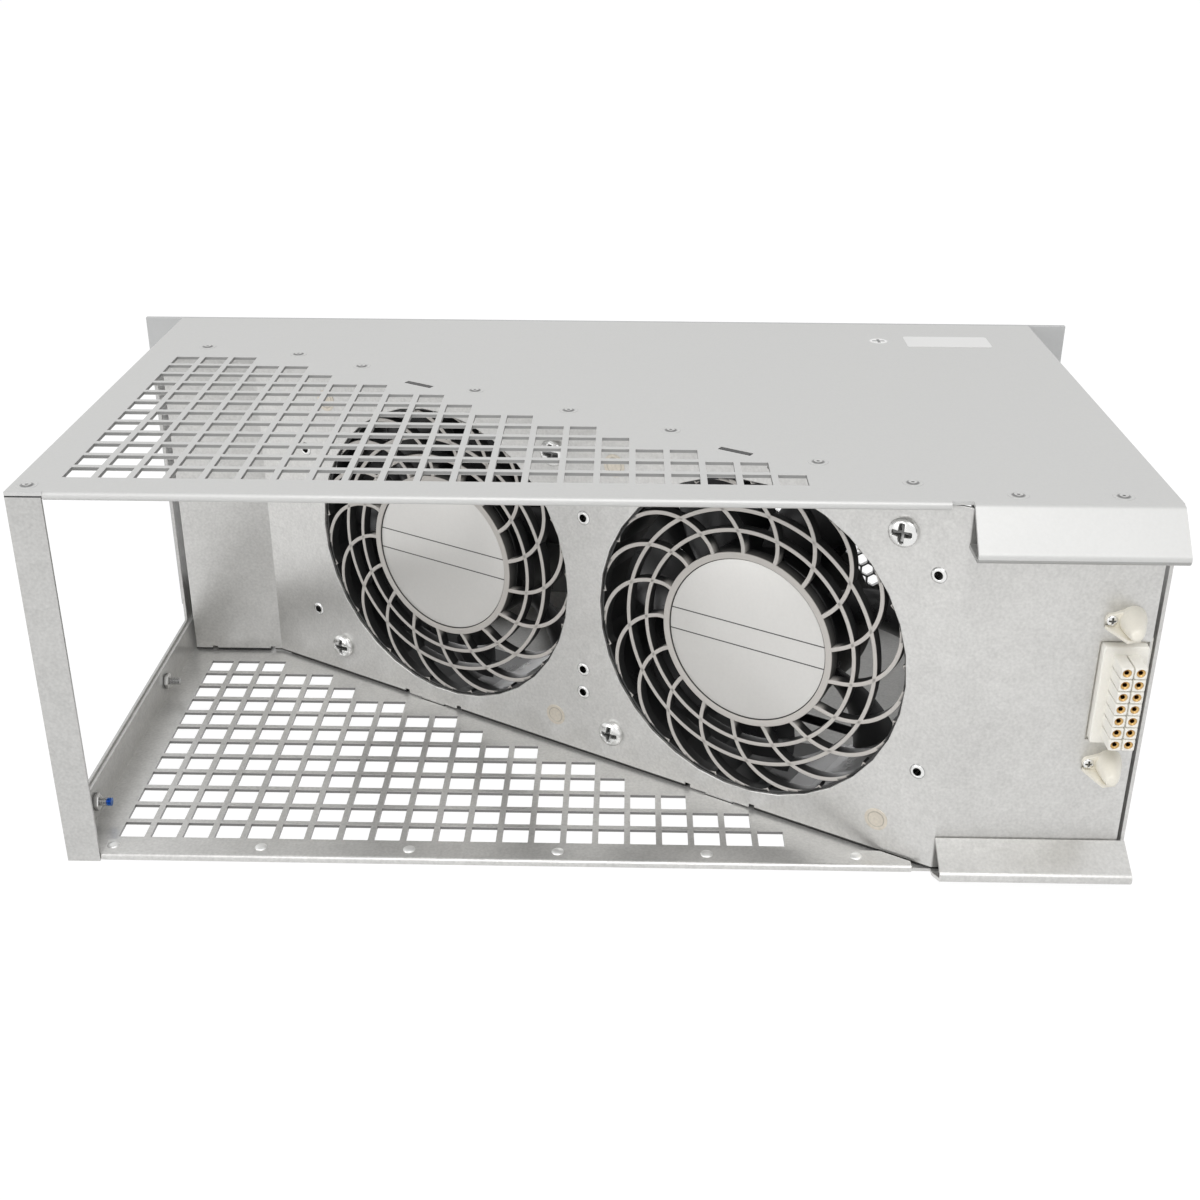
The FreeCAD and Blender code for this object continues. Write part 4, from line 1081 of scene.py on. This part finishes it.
plate = 2.0 * mm
ferrule_radius = 4.0 * mm
ferrule_bore = 3.0 * mm
ferrule_mouth = 2.45 * mm
ferrule_lip = 1.2 * mm
ferrule_flange = 6.2 * mm
ferrule_length = 9.0 * mm
spring_length = 8.0 * mm
spring_middle = 3.05 * mm
spring_wire = 0.5 * mm
spring_turns = 6
knob_radius = 6.0 * mm
knob_start = ferrule_length + spring_length + 0.1 * mm
knob_end = knob_start + 14.0 * mm
knob_chamfer = 1.0 * mm
knurls = 36
knurl_depth = 0.055
screw_radius = 2.0 * mm
thread_tip = 4.0 * mm
neck_radius = 1.7 * mm
neck_start = knob_start + 0.1 * mm
collar_radius = 2.5 * mm
collar_end = ferrule_length - 1.3 * mm
collar_start = collar_end - 2.5 * mm
ear_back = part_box("faceplate")[1].y - plate


def coil_spring(start, steps=32, around=10):
    """A round wire carried along a helix with closer end turns: lift = t - sin(2 pi t)/(4 pi)."""
    t = np.linspace(0, 1, spring_turns * steps)[:, None]
    rise = t - 0.5 * np.sin(2 * np.pi * t) / (2 * np.pi)
    lift = start + spring_wire + (spring_length - 2 * spring_wire) * rise
    turn = 2 * np.pi * spring_turns * t
    ends = np.where((t == 0) | (t == 1), 0.0, 1.0)
    wire = once_round(around)[None, :]
    radius = spring_middle + ends * spring_wire * np.cos(wire)
    z = lift + ends * spring_wire * np.sin(wire)
    return polar(radius, turn, z)


def knurled_knob(count=180):
    """A knob turned from bar: its profile gets rounded ridges between two plain collars, by pulling
    each radius in by depth * sin(knurls/2 * a)^2, and its end is dished."""
    profile = eased([
        (0, knob_start), (knob_radius - knob_chamfer, knob_start),
        (knob_radius, knob_start + knob_chamfer), (knob_radius, knob_start + 2.2 * mm),
        (knob_radius, knob_end - 1.2 * mm), (knob_radius - knob_chamfer, knob_end),
        (knob_radius * 0.62, knob_end), (knob_radius * 0.5, knob_end - 0.5 * mm),
        (0, knob_end - 0.6 * mm),
    ], 0.4 * mm, 4)
    angle = once_round(count)[:, None]
    inside = (profile[:, 0] > knob_radius * 0.97) & (profile[:, 1] > knob_start + 1.2 * mm)
    pull = 1 - inside * knurl_depth * np.sin(knurls / 2 * angle) ** 2
    return turned(profile, count) * np.stack([pull, pull, np.ones_like(pull)], -1)


spring_steel = coat(
    "spring_steel", zinc, (0.5, 0.5, 0.5), metallic=1.0, bump=0.03,
    Contrast=0.06, Crystal=900.0, Gloss=0.28,
)
lip_start = ferrule_length - ferrule_lip
flange_end = plate + ferrule_lip
ferrule = turned(eased([
    (ferrule_bore, 0), (ferrule_radius, 0), (ferrule_radius, plate), (ferrule_flange, plate),
    (ferrule_flange, flange_end), (ferrule_radius, flange_end), (ferrule_radius, ferrule_length),
    (ferrule_mouth, ferrule_length), (ferrule_mouth, lip_start), (ferrule_bore, lip_start),
    (ferrule_bore, 0),
], 0.25 * mm, 4), 64)
neck = np.array([
    (0, neck_start), (neck_radius, neck_start), (neck_radius, collar_end),
    (collar_radius, collar_end), (collar_radius, collar_start), (neck_radius, collar_start),
    (neck_radius, 0),
])
shank = turned(np.vstack([neck, threaded_shank(screw_radius, thread_tip)]), 64)
for side in sides:
    ear_x, _, ear_z = joints[side + "_screw_turn"]["pos_m"]
    here = [(ear_x, ear_back, ear_z)]
    make_piece(
        side + "_ferrule", set_out([ferrule], here, front_axes), bright_zinc, "zinc_fastener",
        side + "_screw_ferrule",
    )
    coil = make_piece(
        side + "_coil_spring", set_out([coil_spring(ferrule_length)], here, front_axes, False, True),
        spring_steel, "spring_steel", side + "_screw_spring",
    )
    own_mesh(coil)
    make_piece(
        side + "_thumb_screw", set_out([knurled_knob(), shank], here, front_axes), bright_zinc,
        "zinc_fastener", side + "_captive_screw", body=side + "_screw",
    )


# Top cover: the last sheet on, smooth zinc-plated steel punched with the same holes, closed by a
# countersunk screw at the front and clinched to the bulkhead's flanges.

cover_tint = (0.625, 0.625, 0.615)
# Partly real, partly painted shade: the cover's hole walls get this tint for the bare cut steel and
# the shade inside the holes.
cover_cut_and_shade = (0.30, 0.30, 0.295)
nose_lip_shade = (0.40, 0.40, 0.39)
nose_fall = 12.9 * mm
sink_rise = 0.05 * mm
sink_low, sink_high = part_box("cover_screw")
sink_radius = (sink_high.x - sink_low.x) / 2
sink_place = ((sink_low.x + sink_high.x) / 2, (sink_low.y + sink_high.y) / 2, case_height)


def under_lip_shade(tree):
    """A mask of painted shade on the rounded lower edge of the cover's nose, which turns under."""
    x, y, z = shaded_place(tree)
    low = add_math(tree, "LESS_THAN", z, case_height - nose_fall)
    return add_math(tree, "MULTIPLY", low, add_math(tree, "LESS_THAN", y, rear_edge + 4 * sheet))


cover_plating = coat(
    "cover_plating", zinc, cover_tint, metallic=0.3, bump=0.08, depth=0.03 * mm,
    Contrast=0.04, Crystal=500.0, Gloss=0.46,
)
retint(cover_plating, vertex_mask("crevice"), crevice_shade_tint)
retint(cover_plating, punched_shade_at(case_height - sheet / 2), cover_cut_and_shade)
# Painted shade on the turned-under lower edge of the nose.
retint(cover_plating, under_lip_shade, nose_lip_shade)
dress("top_cover", cover_plating, sheet_edge)
sink_skirt = [(sink_radius, -sink_rise), (2.0 * mm, -1.2 * mm), (1.9 * mm, -2.4 * mm), (0, -2.4 * mm)]
sunk_screw = [cross_head(sink_radius, -sink_rise, sink_rise, 96), turned(sink_skirt, 96)]
cross_screws("cover_screw_zinc", sunk_screw, [sink_place], upright, sink_radius, "cover_screw")


# Clinch marks: where the cover is pressed into the sheets below, each joint shows as a small ring
# with a dimple in it.

clinch_radius = 3.3 * mm
clinch_rise = 0.42 * mm
clinch_groove = 0.04 * mm
clinch_dimple = 0.1 * mm
clinch_places = np.array([
    (-171, 6), (-154.5, 157), (-117, 148), (-90, 133), (-44.5, 104.5), (-10, 83), (25, 63), (71, 34),
    (98, 16.5), (128, 7), (159.5, 7),
]) * mm
clinch_shape = np.array([
    (1, 0), (0.95, 0.4 * clinch_rise), (0.84, 0.4 * clinch_rise), (0.74, clinch_groove),
    (0.5, clinch_groove), (0.42, clinch_rise), (0.2, clinch_rise), (0.12, clinch_dimple),
    (0, clinch_dimple),
])
clinch = turned(eased(clinch_shape * (clinch_radius, 1), 0.15 * mm, 4), 44)
clinch_middles = [(x, rear_edge + y, case_height) for x, y in clinch_places]
piece = make_piece(
    "cover_clinches", set_out([clinch], clinch_middles, upright), cover_plating, "cover_sheet"
)
# Painted shade in the middle dimple, in the ring's groove and round its outer edge.
x, y, z = nearest_place(piece, clinch_middles, upright)
share = np.hypot(x, y) / clinch_radius
shaded_hollows = [share < 0.17, np.abs(share - 0.5) < 0.08, share > 0.98]
paint(piece, "crevice", np.select(shaded_hollows, [1.0, 0.7, 0.35], 0.0))


# Sticker: a bare white paper label, cut square and stuck on the cover near its front edge. It lies
# flat on the plating and is a seventh of a millimetre thick.

sticker_middle = (137.7 * mm, rear_edge + 173.7 * mm, case_height)
sticker_half = (16.7 * mm, 7.2 * mm)
sticker_thickness = 0.14 * mm
paper = coat("white_paper", moulded, (0.86, 0.86, 0.85), bump=0.05, Contrast=0.04, Gloss=0.55)
sticker = block(*sticker_half, 0, sticker_thickness, 0.05 * mm, 30)
make_piece(
    "cover_sticker", set_out([sticker], [sticker_middle], upright), paper, "cover_sheet", sharp=8
)


# Studio: a pale floor, a white surround and three broad soft lamps, with the camera behind the module
# and above it.

floor_half = 6.0
floor_level = -0.2 * mm
white = (1.0, 1.0, 1.0, 1.0)
camera_place = (10.2 * mm, -518.7 * mm, 299.2 * mm)
pitch, yaw, roll = (math.radians(a) for a in (25.455, -1.022, 0.283))
stage = bpy.context.scene.collection.objects


def white_to_eye(tree, plain, share, strength):
    """Mixes a plain white glow into a shader where the camera, or a reflection, sees it."""
    path = add_node(tree, "LightPath").outputs
    seen = add_math(tree, "MAXIMUM", path["Is Camera Ray"], path["Is Transmission Ray"])
    seen = add_math(tree, "MAXIMUM", seen, path["Is Glossy Ray"])
    glow = add_node(tree, "Emission", Color=white, Strength=strength)
    mix = add_node(tree, "MixShader")
    sources = (add_math(tree, "MULTIPLY", seen, share), plain.outputs[0], glow.outputs[0])
    for socket, source in zip(mix.inputs, sources):
        tree.links.new(source, socket)
    return mix.outputs[0]


def soft_lamp(name, place, aim, size, power):
    """A rectangular area lamp at a place, turned to face a point, its second side upright."""
    lamp = bpy.data.lights.new(name, "AREA")
    lamp.shape = "RECTANGLE"
    lamp.size, lamp.size_y = size
    lamp.energy = power
    holder = bpy.data.objects.new(name, lamp)
    holder.location = place
    away = mathutils.Vector(place) - mathutils.Vector(aim)
    holder.rotation_euler = away.to_track_quat("Z", "Y").to_euler()
    stage.link(holder)


floor_material = bpy.data.materials.new("studio_floor")
tree = bare_tree(floor_material)
floor_paint = add_node(tree, "BsdfDiffuse", Color=(0.9, 0.9, 0.9, 1.0))
add_node(tree, "OutputMaterial", Surface=white_to_eye(tree, floor_paint, 0.85, 1.1))
floor_mesh = bpy.data.meshes.new("studio_floor")
floor_corners = np.array([(-1, -1), (1, -1), (1, 1), (-1, 1)]) * floor_half
floor_corners = [(x, y, floor_level) for x, y in floor_corners]
floor_mesh.from_pydata(floor_corners, [], [(0, 1, 2, 3)])
floor_mesh.materials.append(floor_material)
floor = bpy.data.objects.new("studio_floor", floor_mesh)
stage.link(floor)

world = bpy.data.worlds.new("studio_surround")
bpy.context.scene.world = world
tree = bare_tree(world)
surround = add_node(tree, "Background", Color=white, Strength=0.55)
add_node(tree, "OutputWorld", Surface=white_to_eye(tree, surround, 1.0, 1.0))

soft_lamp("overhead", (0.1, -1.05, 1.5), (0, 0, 0.1), (1.1, 1.1), 12.5)
soft_lamp("left_key", (-1.5, -1.0, 0.5), (0, 0, 0.06), (0.9, 0.9), 7)
soft_lamp("front_fill", (0.1, 1.0, 0.066), (0.1, 0, 0.066), (0.8, 0.11), 2.0)

camera_data = bpy.data.cameras.new("studio_camera")
camera_data.lens = 45.41
camera_data.sensor_width = 36.0
camera = bpy.data.objects.new("studio_camera", camera_data)
camera.matrix_world = (
    mathutils.Matrix.Translation(camera_place)
    @ mathutils.Matrix.Rotation(-yaw, 4, "Z")
    @ mathutils.Matrix.Rotation(math.pi / 2 - pitch, 4, "X")
    @ mathutils.Matrix.Rotation(roll, 4, "Z")
)
stage.link(camera)
bpy.context.scene.camera = camera
bpy.context.scene.view_settings.view_transform = "Standard"
